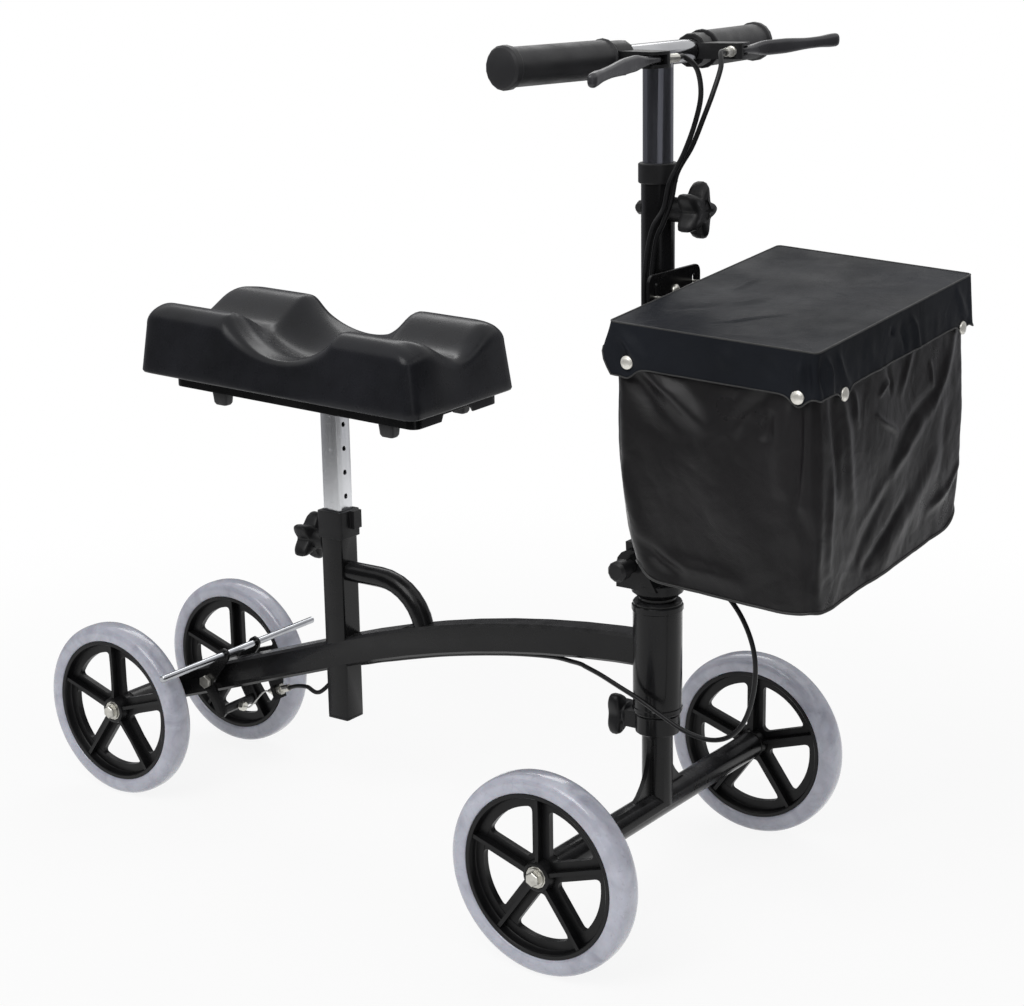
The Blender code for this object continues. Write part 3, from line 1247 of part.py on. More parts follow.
def brake_rocker():
    """Two side plates with arms up to the rod, joined by a crosspiece at the lower end."""
    pivot = Vector((BRAKE_PIVOT_X, beam_height(BRAKE_PIVOT_X)))
    rod = Vector((BRAKE_ROD_X, BRAKE_ROD_Z))
    pinch = Vector((PINCH_X, PINCH_Z))
    inner = BRAKE_SLEEVE_HALF + FIT_GAP
    outer = inner + BRAKE_PLATE
    half = BRAKE_ARM_WIDTH / 2

    def link(start, end, low, high):
        along = (end - start).normalized()
        angle = math.degrees(math.atan2(along.y, along.x))
        outline = arc(end, half, angle - 90, angle + 90, 4) + arc(start, half, angle + 90, angle + 270, 4)
        return extruded(outline, low, high)

    plates = []
    for _, side in SIDES:
        low, high = sorted((side * inner, side * outer))
        plates += [link(pivot, rod, low, high), link(pivot, pinch, low, high)]
    cross = cylinder(half * 0.72, -inner - 1 * MM, inner + 1 * MM, "Y", (pinch.x, 0, pinch.y), FACETS_TINY)
    body_form = joined(cross, *plates)
    through = outer + PAST
    rod_hole = cylinder(BRAKE_ROD_RADIUS + FIT_GAP, -through, through, "Y", (rod.x, 0, rod.y), FACETS_TINY)
    bolt_hole = cylinder(BRAKE_PIVOT_RADIUS + FIT_GAP, -through, through, "Y",
                         (pivot.x, 0, pivot.y), FACETS_TINY)
    keep(cut(body_form, rod_hole, bolt_hole), "brake_rocker", "brake", "frame")
    chrome = cylinder(BRAKE_ROD_RADIUS, -BRAKE_ROD_HALF, BRAKE_ROD_HALF, "Y",
                      (rod.x, 0, rod.y), FACETS_SMALL, 1 * MM)
    keep(chrome, "brake_rod", "brake", "chrome")
    face = outer + FIT_GAP
    shank = cylinder(BRAKE_PIVOT_RADIUS, -face - 1 * MM, face + 1 * MM, "Y",
                     (pivot.x, 0, pivot.y), FACETS_TINY)
    heads = []
    for _, side in SIDES:
        low, high = sorted((side * face, side * (face + BOLT_HEAD_HEIGHT)))
        heads.append(cylinder(BOLT_HEAD_RADIUS, low, high, "Y", (pivot.x, 0, pivot.y), 6))
    keep(joined(shank, *heads), "brake_pivot_bolt", "frame", "zinc")


def pinch_bolt():
    """Bolt that holds the brake wire at the front of the rocker's crosspiece."""
    reach = BRAKE_ARM_WIDTH / 2 * 0.72 + FIT_GAP
    face = PINCH_X + reach
    shape = cylinder(5.5 * MM, face, face + 7 * MM, "X", (0, 0, PINCH_Z), 6)
    keep(shape, "pinch_bolt", "brake", "zinc")


def rear_adjuster():
    """Barrel adjuster through its tab, with a nut on each side."""
    place = adjuster_place()
    half = TAB_THICKNESS / 2 + FIT_GAP
    barrel = turned([
        (0, -14 * MM), (2.6 * MM, -14 * MM), (2.6 * MM, -half - 5 * MM), (6.3 * MM, -half - 5 * MM),
        (6.3 * MM, -half), (ADJUSTER_RADIUS, -half), (ADJUSTER_RADIUS, half), (6.3 * MM, half),
        (6.3 * MM, half + 5 * MM), (ADJUSTER_RADIUS, half + 5.5 * MM), (ADJUSTER_RADIUS, 19 * MM),
        (0, 19 * MM)], FACETS_TINY, "X", place)
    keep(along_tail(barrel), "rear_cable_adjuster", "frame", "zinc")


def tail_point(along, down=0.0):
    """A point in the tilted frame of the rear cable adjuster."""
    place = adjuster_place()
    root = Vector((TAB_X, 0, beam_height(TAB_X) - BEAM_HEIGHT / 2))
    tilt = Matrix.Rotation(-beam_slope(), 3, "Y")
    return root + tilt @ (place + Vector((along, 0, -down)) - root)


def millimetres(*points):
    """Points given in millimetres, in metres."""
    return [tuple(value * MM for value in point) for point in points]


def under_beam(x, y, below=4.5 * MM):
    """A point of the cable's route below the beam."""
    return (x, y, beam_height(x) - BEAM_HEIGHT / 2 * 1.06 - below)


def cables():
    """Two cables from the levers to their junction on the column, and one on from it in a loop."""
    ends = {}
    for name, side in SIDES:
        reach = -CLAMP_WIDTH / 2 - PERCH_OFFSET - FIT_GAP - ADJUSTER_LENGTH - FIT_GAP
        for distance, label in ((reach, "exit"), (reach - 10 * MM, "lead")):
            local = Matrix.Rotation(SWEEP_ANGLE, 3, "Z") @ Vector((LEVER_REACH, distance, 0))
            point = swept(lever_station()) + local
            ends[name, label] = Vector((point.x, side * point.y, point.z))
    mouth = Vector(millimetres((8, -23, 566))[0])
    right = [ends["right", "exit"], ends["right", "lead"], *millimetres(
        (54, -21, 829), (53, -12, 806), (47, -12, 780), (37, -15, 752), (25, -20, 726), (20, -22, 702),
        (11, -26.5, 684), (5, -27.5, 658), (1, -26.5, 620), (4, -24.5, 590))]
    left = [ends["left", "exit"], ends["left", "lead"], *millimetres(
        (55, 20, 828), (54, 8, 806), (49, 0, 784), (41, -7, 758), (29, -13, 734), (24.5, -16, 709),
        (18, -19.5, 688), (10.5, -21, 669), (5, -20.5, 625), (9, -21.5, 590))]
    for name, route, side in (("right", right, -1), ("left", left, 1)):
        beside = Vector((side * 2.6 * MM, side * 1 * MM, 0))
        route += [mouth + beside + Vector((0, 0, 10 * MM)), mouth + beside + Vector((0, 0, 0.2 * MM))]
        cable("brake_cable_" + name, route, CABLE_RADIUS, "handlebar", 3)
    low = mouth.z - FIT_GAP
    junction = turned([
        (0, low - JUNCTION_LENGTH), (3.4 * MM, low - JUNCTION_LENGTH), (4 * MM, low - 28 * MM),
        (6.2 * MM, low - 20 * MM), (6.2 * MM, low - 1 * MM), (5.4 * MM, low), (0, low)],
        FACETS_TINY, "Z", (mouth.x, mouth.y, 0))
    keep(junction, "cable_junction", "column", "plastic")
    start = Vector((mouth.x, mouth.y, low - JUNCTION_LENGTH - FIT_GAP))
    front = [start, start - Vector((0, 0, 12 * MM)), *millimetres(
        (10, -24, 490), (18, -28, 440), (34, -34, 402), (60, -39, 372), (92, -41, 354), (116, -41, 330),
        (130, -40, 298), (132, -40, 264), (123, -40, 228), (106, -40, 206), (82, -39, 197), (54, -38, 200),
        (28, -37, 210), (0, -35, 221), (-26, -31, 228), (-52, -24, 233), (-76, -15, 234.5))]
    cable("brake_cable_front", front, CABLE_RADIUS, "steering", 3)
    rear_cable(front)


def rear_cable(front):
    """Goes on from the front cable's end, below the beam and past the seat tube, to the brake."""
    onward = (Vector(front[-1]) - Vector(front[-2])).normalized()
    after = Vector(front[-1]) + onward * RUNNING_GAP
    side_y = SEAT_TUBE_SIZE / 2 + CABLE_RADIUS + 1.2 * MM
    route = [
        after, after + onward * 7 * MM, *millimetres((-98, -6, 233)),
        under_beam(BEAM_KNEE_X * 0.325, 2 * MM), under_beam(BEAM_KNEE_X * 0.475, 7 * MM),
        under_beam(BEAM_KNEE_X * 0.675, 10 * MM), under_beam(BEAM_KNEE_X * 0.8625, 13 * MM),
        under_beam(SEAT_TUBE_X + SEAT_TUBE_SIZE / 2 + 11 * MM, side_y),
        under_beam(SEAT_TUBE_X - 12 * MM, side_y, 6 * MM), tail_point(64 * MM, 11 * MM),
        tail_point(46 * MM, 3 * MM), tail_point(32 * MM), tail_point(19 * MM + FIT_GAP)]
    cable("brake_cable_rear", route, CABLE_RADIUS, "frame", 3)
    nut = PINCH_X + BRAKE_ARM_WIDTH / 2 * 0.72 + FIT_GAP + 7 * MM
    end = Vector((nut + FIT_GAP, 0, PINCH_Z))
    wire = [tail_point(-14 * MM - FIT_GAP), tail_point(-24 * MM), end + Vector((8 * MM, 0, 2 * MM)), end]
    cable("brake_wire", wire, WIRE_CORE_RADIUS, "frame", 3)


def build():
    clear_scene()
    body("frame", None, (0, 0, 0))
    main_frame()
    seat_tube_sleeve()
    seat_tube_plug()
    headset()
    rear_adjuster()
    body("brake", "frame", (BRAKE_PIVOT_X, 0, beam_height(BRAKE_PIVOT_X)))
    brake_rocker()
    pinch_bolt()
    body("seat_knob", "frame", (SEAT_TUBE_X - SEAT_TUBE_SIZE / 2, 0, SEAT_KNOB_HEIGHT))
    wall = -SEAT_TUBE_X + SEAT_TUBE_SIZE / 2 + SLEEVE_WALL + 2 * FIT_GAP
    post_face = -SEAT_TUBE_X + POST_SIZE / 2 + FIT_GAP
    star_knob("seat_knob", "seat_knob", wall, post_face, wall + SEAT_KNOB_FACE - 4 * MM,
              SEAT_KNOB_HEIGHT, -1, KNOB_RADIUS, KNOB_THICKNESS, KNOB_LOBES)
    body("seat", "frame", (SEAT_TUBE_X, 0, PAD_BOTTOM))
    seat_post()
    pad_plate()
    knee_pad()
    body("steering", "frame", (0, 0, WHEEL_RADIUS))
    front_fork()
    clamp_collar()
    fold_yoke()
    fold_bolt()
    body("collar_knob", "steering", (-COLLAR_EAR_REACH, 0, COLLAR_KNOB_HEIGHT))
    star_knob("collar_knob", "collar_knob", COLLAR_EAR_REACH + FIT_GAP, COLLAR_RADIUS * 0.75 + 1 * MM,
              COLLAR_EAR_REACH + 4 * MM, COLLAR_KNOB_HEIGHT, -1, COLLAR_KNOB_RADIUS, COLLAR_KNOB_THICKNESS,
              COLLAR_KNOB_LOBES)
    body("fold_knob", "steering", (FOLD_X, 0, FOLD_Z))
    fold_knob()
    body("column", "steering", (FOLD_X, 0, FOLD_Z))
    lower_stem()
    stem_collar()
    basket_bracket()
    bag_body()
    bag_wire()
    body("bag_lid", "column", (BAG_BACK_X - LID_BACK_OVERHANG, 0, BAG_TOP + FIT_GAP))
    bag_lid()
    body("stem_knob", "column", (LOWER_STEM_RADIUS, 0, STEM_KNOB_HEIGHT))
    star_knob("stem_knob", "stem_knob", LOWER_STEM_RADIUS + FIT_GAP, UPPER_STEM_RADIUS + FIT_GAP,
              STEM_KNOB_FACE, STEM_KNOB_HEIGHT, 1, KNOB_RADIUS, KNOB_THICKNESS, KNOB_LOBES)
    body("handlebar", "column", (0, 0, HANDLEBAR_HEIGHT))
    handlebar()
    grips()
    lever_clamps()
    for name, side in SIDES:
        body(name + "_lever", "handlebar", lever_pivot(side))
    levers()
    cables()
    for name, side in SIDES:
        wheel("front_" + name, "steering", 0, side * FRONT_HALF_TRACK)
        wheel("rear_" + name, "frame", -WHEEL_BASE, side * REAR_HALF_TRACK)


FRONT_REACH = BAG_BACK_X + BAG_DEPTH + LID_GAP + LID_SKIRT_WALL + LID_FLARE
STEER_X = (WHEEL_BASE + WHEEL_RADIUS - FRONT_REACH) / 2

build()
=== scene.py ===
"""Looks of the knee walker: materials, cloth bag, knee pad, wheels, cables, light and camera.

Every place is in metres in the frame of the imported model. The helper at() takes millimetres from
the steering axis and the floor, as the photograph was measured.
"""
import json
from math import atan2, copysign, cos, dist, exp, hypot, pi, radians, sin, sqrt, tau

import bmesh
import bpy
from mathutils import Matrix, Vector, noise

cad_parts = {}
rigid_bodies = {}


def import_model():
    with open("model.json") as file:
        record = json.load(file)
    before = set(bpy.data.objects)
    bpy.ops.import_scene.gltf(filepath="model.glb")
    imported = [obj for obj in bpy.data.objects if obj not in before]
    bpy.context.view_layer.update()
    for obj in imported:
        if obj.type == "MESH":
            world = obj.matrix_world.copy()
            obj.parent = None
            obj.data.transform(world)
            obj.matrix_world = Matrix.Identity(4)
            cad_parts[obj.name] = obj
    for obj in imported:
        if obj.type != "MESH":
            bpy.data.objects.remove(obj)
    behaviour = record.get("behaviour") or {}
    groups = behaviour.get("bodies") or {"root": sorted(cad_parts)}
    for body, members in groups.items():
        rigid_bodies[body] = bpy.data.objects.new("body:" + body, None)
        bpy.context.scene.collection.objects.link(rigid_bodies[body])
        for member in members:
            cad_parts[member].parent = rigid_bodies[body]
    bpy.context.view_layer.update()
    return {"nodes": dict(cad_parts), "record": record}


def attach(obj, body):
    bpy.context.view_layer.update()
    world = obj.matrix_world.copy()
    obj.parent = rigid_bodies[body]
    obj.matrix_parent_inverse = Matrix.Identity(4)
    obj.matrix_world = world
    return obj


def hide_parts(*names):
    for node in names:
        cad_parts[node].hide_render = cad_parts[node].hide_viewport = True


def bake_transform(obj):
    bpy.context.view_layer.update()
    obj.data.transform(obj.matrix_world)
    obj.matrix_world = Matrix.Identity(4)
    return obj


for item in list(bpy.data.objects):
    bpy.data.objects.remove(item, do_unlink=True)

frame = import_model()
NODES = frame["nodes"]

MM = 0.001
STEER_X = 0.25375
SIDES = (("right", -1), ("left", 1))


def at(x, y, z):
    """A point given in millimetres from the steering axis and the floor."""
    return Vector((STEER_X + x * MM, y * MM, z * MM))


# ---- shader helpers

def add(tree, kind, inputs=None, **settings):
    """Adds a node. Each input is a value, or a socket to link."""
    node = tree.nodes.new(kind)
    for key, value in settings.items():
        setattr(node, key, value)
    for key, value in (inputs or {}).items():
        if isinstance(value, bpy.types.NodeSocket):
            tree.links.new(value, node.inputs[key])
        else:
            node.inputs[key].default_value = value
    return node


def drift(tree, place, scale, detail=4.0, distortion=0.0, roughness=0.55):
    """Soft noise between 0 and 1 at a scale in waves a metre."""
    return add(tree, "ShaderNodeTexNoise", {
        "Vector": place, "Scale": scale, "Detail": detail, "Roughness": roughness,
        "Distortion": distortion}).outputs["Fac"]


def spread(tree, value, low, high, start=0.3, end=0.7):
    """Maps a range of a value, by default the middle of a noise, to another range."""
    return add(tree, "ShaderNodeMapRange", {
        "Value": value, "From Min": start, "From Max": end, "To Min": low, "To Max": high}).outputs[0]


def maths(tree, operation, first, second):
    """Joins two values by a sum, a product and so on."""
    return add(tree, "ShaderNodeMath", {0: first, 1: second}, operation=operation).outputs[0]


def part_of(tree, vector, index):
    """One coordinate of a vector."""
    return add(tree, "ShaderNodeSeparateXYZ", {0: vector}).outputs[index]


def wave(tree, place, direction, scale, distortion=0):
    """Regular bands, for threads and strands."""
    return add(tree, "ShaderNodeTexWave", {
        "Vector": place, "Scale": scale, "Distortion": distortion}, bands_direction=direction).outputs["Fac"]


def mixed(tree, factor, low, high):
    """Colour between two colours, each a socket or an RGB triple."""
    values = {0: factor}
    for index, colour in ((6, low), (7, high)):
        values[index] = colour if isinstance(colour, bpy.types.NodeSocket) else (*colour, 1)
    return add(tree, "ShaderNodeMix", values, data_type="RGBA").outputs[2]


def raised(tree, height, depth, strength=1.0, below=None):
    """Bump from a height socket, in metres."""
    inputs = {"Height": height, "Strength": strength, "Distance": depth}
    if below is not None:
        inputs["Normal"] = below
    return add(tree, "ShaderNodeBump", inputs).outputs[0]


def surface(name, dark, light, rough, metallic=0.0, blotch=18.0, grain=1400.0, depth=0.00005,
            stretch=(1, 1, 1), shaping=None, shine=0.5, **fixed):
    """Material whose colour and gloss drift in soft blotches, over a fine raised grain."""
    finish = bpy.data.materials.new(name + "_finish")
    finish.use_nodes = True
    tree = finish.node_tree
    shader = tree.nodes["Principled BSDF"]
    place = add(tree, "ShaderNodeTexCoord").outputs["Object"]
    drawn = add(tree, "ShaderNodeMapping", {"Vector": place, "Scale": stretch}).outputs[0]
    colour = mixed(tree, spread(tree, drift(tree, drawn, blotch), 0, 1), dark, light)
    gloss = spread(tree, drift(tree, drawn, blotch * 2.7, 6), *rough)
    normal = raised(tree, drift(tree, drawn, grain, 2), depth)
    if shaping:
        colour, gloss, normal = shaping(tree, place, colour, gloss, normal)
    for key, socket in (("Base Color", colour), ("Roughness", gloss), ("Normal", normal)):
        tree.links.new(socket, shader.inputs[key])
    for key, value in (("Metallic", metallic), ("Specular IOR Level", shine), *fixed.items()):
        shader.inputs[key.replace("_", " ")].default_value = value
    return finish


def dusty(tree, place, colour, gloss, normal):
    """A little dust on what faces up, broken up by noise."""
    up = part_of(tree, add(tree, "ShaderNodeNewGeometry").outputs["Normal"], 2)
    patches = spread(tree, drift(tree, place, 60, 6), 0, 0.12)
    amount = maths(tree, "MULTIPLY", spread(tree, up, 0, 1, 0.4, 1), patches)
    return mixed(tree, amount, colour, (0.25, 0.25, 0.26)), gloss, normal


def scuffed(tree, place, colour, gloss, normal):
    """Fine scratches along X, close together along Y."""
    drawn = add(tree, "ShaderNodeMapping", {"Vector": place, "Scale": (1, 6, 1)}).outputs[0]
    lines = drift(tree, drawn, 240, 8, 0.2, 0.7)
    gloss = maths(tree, "ADD", gloss, spread(tree, lines, 0, 0.1, 0.55, 0.7))
    return colour, gloss, raised(tree, lines, 0.00001, 1, normal)


def woven(tree, place, colour, gloss, normal):
    """Plain weave: two crossed sets of threads, and crumples of the cloth."""
    warp = wave(tree, place, "Z", 420, 0.6)
    weft = wave(tree, place, "DIAGONAL", 330, 0.6)
    threads = maths(tree, "MULTIPLY", warp, weft)
    colour = mixed(tree, spread(tree, threads, 0, 0.3, 0, 1), colour, (0.02, 0.02, 0.022))
    normal = raised(tree, drift(tree, place, 30, 4, 1.2, 0.5), 0.002, 0.4, normal)
    return colour, gloss, raised(tree, threads, 0.00012, 0.7, normal)


def moulded_grain(tree, place, colour, gloss, normal):
    """Pebbled skin of a moulded cushion."""
    cells = add(tree, "ShaderNodeTexVoronoi", {
        "Vector": place, "Scale": 620.0, "Smoothness": 0.6}, feature="SMOOTH_F1").outputs["Distance"]
    return colour, gloss, raised(tree, cells, 0.00012, 0.35, normal)


def cloudy(tree, place, colour, gloss, normal):
    """Milky clouds inside a grey tyre, with darker scuffs on the tread."""
    cloud = drift(tree, place, 34, 5, 1.2)
    colour = mixed(tree, spread(tree, cloud, 0, 0.65), colour, (0.6, 0.62, 0.7))
    scuff = spread(tree, drift(tree, place, 190, 6, 0.5, 0.7), 0, 0.35, 0.56, 0.72)
    return mixed(tree, scuff, colour, (0.22, 0.215, 0.26)), gloss, normal


def two_metals(tree, place, colour, gloss, normal):
    """Dark plated stem below a bright plated bar."""
    upper = spread(tree, part_of(tree, place, 2), 0, 1, 0.8275, 0.829)
    colour = mixed(tree, upper, (0.19, 0.195, 0.22), colour)
    gloss = spread(tree, upper, 0.3, gloss, 0, 1)
    return scuffed(tree, place, colour, gloss, normal)


def stranded(tree, place, colour, gloss, normal):
    """Twisted strands of a steel wire."""
    return colour, gloss, raised(tree, wave(tree, place, "DIAGONAL", 700), 0.0002, 0.8, normal)


FRAME_PAINT = surface(
    "frame_paint", (0.003, 0.003, 0.0033), (0.0075, 0.0075, 0.008), (0.2, 0.32), blotch=9,
    grain=520, depth=0.00003, shaping=dusty, shine=0.19, Coat_Weight=0.12, Coat_Roughness=0.08)
PLASTIC = surface(
    "black_plastic", (0.006, 0.006, 0.0065), (0.014, 0.014, 0.015), (0.36, 0.5), grain=2200,
    shine=0.3)
RIM_PLASTIC = surface(
    "rim_plastic", (0.003, 0.003, 0.0035), (0.007, 0.007, 0.0075), (0.3, 0.44), grain=1800,
    shine=0.25)
TYRE = surface(
    "grey_tyre", (0.32, 0.325, 0.39), (0.45, 0.455, 0.53), (0.14, 0.3), blotch=22, grain=900,
    shaping=cloudy, Subsurface_Weight=0.12, Subsurface_Scale=0.004, Coat_Weight=0.5, Coat_Roughness=0.06)
PAD_SKIN = surface(
    "pad_skin", (0.009, 0.0093, 0.011), (0.0155, 0.016, 0.0195), (0.24, 0.33), grain=1300,
    depth=0.00004, shaping=moulded_grain, shine=0.23)
BAG_CLOTH = surface(
    "bag_cloth", (0.0035, 0.0032, 0.0035), (0.011, 0.01, 0.011), (0.26, 0.38), blotch=7,
    shaping=woven, shine=0.27)
# Lid and skirt cloth: the dark cloth colour, made paler and bluish as a painted reflection of the sky on the
# lid's top
LID_CLOTH_PAINTED_REFLECTION = surface(
    "lid_cloth", (0.007, 0.0082, 0.0105), (0.014, 0.016, 0.021), (0.38, 0.52), blotch=7,
    shaping=woven, shine=0.06)
PIPING = surface(
    "piping", (0.012, 0.012, 0.012), (0.03, 0.03, 0.03), (0.4, 0.5), grain=2600, depth=0.0001)
GRIP = surface(
    "grip_rubber", (0.008, 0.008, 0.009), (0.017, 0.017, 0.019), (0.4, 0.54), grain=2400,
    depth=0.00008, shine=0.4)
LEVER = surface(
    "lever_paint", (0.03, 0.03, 0.033), (0.055, 0.055, 0.06), (0.24, 0.38), 0.35, grain=1500)
JACKET = surface(
    "cable_jacket", (0.004, 0.004, 0.0045), (0.01, 0.01, 0.011), (0.3, 0.45), grain=1500,
    shine=0.3)
CHROME = surface("chrome", (0.36, 0.37, 0.39), (0.5, 0.51, 0.53), (0.08, 0.17), 1.0, shaping=scuffed)
BAR_METAL = surface(
    "bar", (0.34, 0.345, 0.36), (0.44, 0.445, 0.46), (0.1, 0.18), 1.0, shaping=two_metals)
POST_METAL = surface(
    "seat_post", (0.62, 0.63, 0.65), (0.78, 0.79, 0.81), (0.14, 0.24), 1.0, grain=900,
    stretch=(1, 1, 0.05), shaping=scuffed)
ZINC = surface("zinc", (0.42, 0.41, 0.38), (0.66, 0.65, 0.6), (0.28, 0.45), 1.0, blotch=90)
STUD = surface("stud", (0.74, 0.72, 0.66), (0.9, 0.88, 0.82), (0.3, 0.42), 0.6, blotch=200)
WIRE = surface("brake_wire", (0.4, 0.4, 0.4), (0.62, 0.62, 0.6), (0.3, 0.4), 1.0, shaping=stranded)

NODE_FINISH = {
    "frame_paint": FRAME_PAINT, "black_plastic": PLASTIC, "rim_plastic": RIM_PLASTIC, "grey_tyre": TYRE,
    "pad_skin": PAD_SKIN, "bag_cloth": BAG_CLOTH, "grip_rubber": GRIP, "lever_paint": LEVER,
    "cable_jacket": JACKET, "chrome": CHROME, "polished_steel": POST_METAL, "zinc": ZINC,
}


def smoothing():
    """Node group that welds a faceted solid and shades it smooth up to its real edges."""
    group = bpy.data.node_groups.new("smooth_solid", "GeometryNodeTree")
    group.interface.new_socket("Geometry", in_out="INPUT", socket_type="NodeSocketGeometry")
    group.interface.new_socket("Geometry", in_out="OUTPUT", socket_type="NodeSocketGeometry")
    start = add(group, "NodeGroupInput").outputs[0]
    bare = add(group, "GeometryNodeRemoveAttribute", {"Geometry": start, "Name": "custom_normal"}).outputs[0]
    weld = add(group, "GeometryNodeMergeByDistance", {"Geometry": bare, "Distance": 0.00001}).outputs[0]
    angle = add(group, "GeometryNodeInputMeshEdgeAngle").outputs[0]
    gentle = add(
        group, "FunctionNodeCompare", {0: angle, 1: radians(33)}, operation="LESS_THAN").outputs[0]
    faces = add(
        group, "GeometryNodeSetShadeSmooth", {0: weld, "Shade Smooth": True}, domain="FACE").outputs[0]
    edges = add(
        group, "GeometryNodeSetShadeSmooth", {0: faces, "Shade Smooth": gentle}, domain="EDGE").outputs[0]
    add(group, "NodeGroupOutput", {0: edges})
    return group


def finish_nodes():
    """Every carried-over solid gets its finish, smooth shading and softened edges."""
    group = smoothing()
    slots = {entry["node"]: entry["material_slot"] for entry in frame["record"]["subparts"]}
    for name, item in NODES.items():
        item.data.materials.clear()
        item.data.materials.append(NODE_FINISH[slots[name]])
        smooth = item.modifiers.new("smooth", "NODES")
        smooth.node_group = group
        flat = item.modifiers.new("flat", "DECIMATE")
        flat.decimate_type = "DISSOLVE"
        flat.angle_limit = radians(0.6)
        softened(item, 0.5, 38)
    NODES["handlebar"].data.materials[0] = BAR_METAL
    NODES["fold_bolt"].data.materials[0] = PLASTIC


# ---- mesh helpers

def placed(name, data):
    """A new object in the scene."""
    item = bpy.data.objects.new(name, data)
    bpy.context.collection.objects.link(item)
    return item


def formed(name, shape):
    """Turns a bmesh into an object, with its faces outwards."""
    bmesh.ops.recalc_face_normals(shape, faces=shape.faces)
    mesh = bpy.data.meshes.new(name)
    shape.to_mesh(mesh)
    shape.free()
    return placed(name, mesh)


def piece(name, shape, finish, body, smooth, stands_for=()):
    """A named mesh that rides on a body, smooth below an angle between its faces."""
    item = formed(name, shape)
    item.data.materials.append(finish)
    item.data.shade_smooth()
    item.data.set_sharp_from_angle(angle=radians(smooth))
    if body:
        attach(item, body)
    if stands_for:
        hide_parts(*stands_for)
    return item


def softened(item, width, limit=30):
    """Rounds the sharp edges of a piece, by a width in millimetres."""
    bevel = item.modifiers.new("edge", "BEVEL")
    bevel.width = width * MM
    bevel.segments = 2
    bevel.limit_method = "ANGLE"
    bevel.angle_limit = radians(limit)
    bevel.harden_normals = True


def skin(rings, caps=(0, -1), looped=False, shape=None):
    """Faces through closed rings of equally many points, in a shape or in a new one."""
    if shape is None:
        shape = bmesh.new()
    rows = [[shape.verts.new(point) for point in ring] for ring in rings]
    pairs = list(zip(rows, rows[1:]))
    if looped:
        pairs.append((rows[-1], rows[0]))
    for low, high in pairs:
        for index in range(len(low)):
            after = (index + 1) % len(low)
            shape.faces.new((low[index], low[after], high[after], high[index]))
    for end in () if looped else caps:
        shape.faces.new(rows[end])
    return shape


def revolved(profile, steps, axis="Y", centre=(0, 0, 0), looped=False):
    """Turns a profile of (radius, height) pairs, in millimetres, about an axis through the centre."""
    rings = []
    for radius, height in profile:
        ring = []
        for angle in turns(steps):
            u, v, w = radius * MM * cos(angle), radius * MM * sin(angle), height * MM
            ring.append(Vector(centre) + Vector({"X": (w, u, v), "Y": (v, w, u)}[axis]))
        rings.append(ring)
    return skin(rings, looped=looped)


def solid(rings):
    """A closed form through rings, for Booleans."""
    return formed("form", skin(rings))


def combined(base, others, operation):
    """Applies Booleans one after the other and removes their cutters."""
    for other in others:
        step = base.modifiers.new("step", "BOOLEAN")
        step.object = other
        step.operation = operation
        step.solver = "EXACT"
        seen = base.evaluated_get(bpy.context.evaluated_depsgraph_get())
        mesh = bpy.data.meshes.new_from_object(seen)
        base.modifiers.clear()
        base.data = mesh
        bpy.data.objects.remove(other, do_unlink=True)
    return base


def turns(count):
    """Angles that divide a full turn evenly."""
    return [tau * k / count for k in range(count)]


def arc(centre, radius, start, end, steps):
    """Points of an arc between two angles in degrees."""
    points = []
    for index in range(steps + 1):
        angle = radians(start + (end - start) * index / steps)
        points.append((centre[0] + radius * cos(angle), centre[1] + radius * sin(angle)))
    return points


def smooth_path(points, steps):
    """Catmull-Rom curve through points."""
    points = [Vector(point) for point in points]
    padded = [2 * points[0] - points[1], *points, 2 * points[-1] - points[-2]]
    path = []
    for index in range(len(points) - 1):
        a, b, c, d = padded[index:index + 4]
        for step in range(steps):
            t = step / steps
            path.append(0.5 * (2 * b + (c - a) * t + (2 * a - 5 * b + 4 * c - d) * t ** 2
                               + (3 * b - a - 3 * c + d) * t ** 3))
    path.append(points[-1])
    return path


def circle(centre, first, second, radius, sides):
    """Points of a circle in the plane of two directions."""
    return [centre + radius * (first * cos(angle) + second * sin(angle)) for angle in turns(sides)]


def sweep(shape, path, radius, sides=14):
    """A round tube along a path."""
    rings = []
    normal = None
    for index, point in enumerate(path):
        along = (path[min(index + 1, len(path) - 1)] - path[max(index - 1, 0)]).normalized()
        normal = along.orthogonal() if normal is None else normal - along * normal.dot(along)
        normal.normalize()
        rings.append(circle(point, normal, along.cross(normal), radius, sides))
    skin(rings, shape=shape)


def hoop(shape, path, radius):
    """A round tube along a closed, nearly level loop."""
    rings = []
    for index, point in enumerate(path):
        along = (path[(index + 1) % len(path)] - path[index - 1]).normalized()
        up = (Vector((0, 0, 1)) - along * along.z).normalized()
        rings.append(circle(point, up, along.cross(up), radius, 8))
    skin(rings, looped=True, shape=shape)


def clamped(value, low=0, high=1):
    return max(low, min(high, value))


def eased(t):
    """Smooth step from 0 to 1."""
    t = clamped(t)
    return t * t * (3 - 2 * t)


def toward(a, b, share):
    """The point at a share of the way from one point of a plan to another."""
    return a[0] + (b[0] - a[0]) * share, a[1] + (b[1] - a[1]) * share


def evenly(points, count):
    """The same closed line with its points evenly spaced."""
    lengths = [0.0]
    for a, b in zip(points, points[1:] + points[:1]):
        lengths.append(lengths[-1] + dist(a, b))
    loop = []
    index = 0
    for k in range(count):
        goal = lengths[-1] * k / count
        while lengths[index + 1] < goal:
            index += 1
        t = (goal - lengths[index]) / (lengths[index + 1] - lengths[index])
        loop.append(toward(points[index], points[(index + 1) % len(points)], t))
    return loop


# ---- wheels

WHEELS = (
    ("front_right", 0, -202), ("front_left", 0, 202), ("rear_right", -658, -100), ("rear_left", -658, 100))
AXLE_HEIGHT = 100
SPOKES = 5
CORNERS = ((-1, -1), (1, -1), (1, 1), (-1, 1))

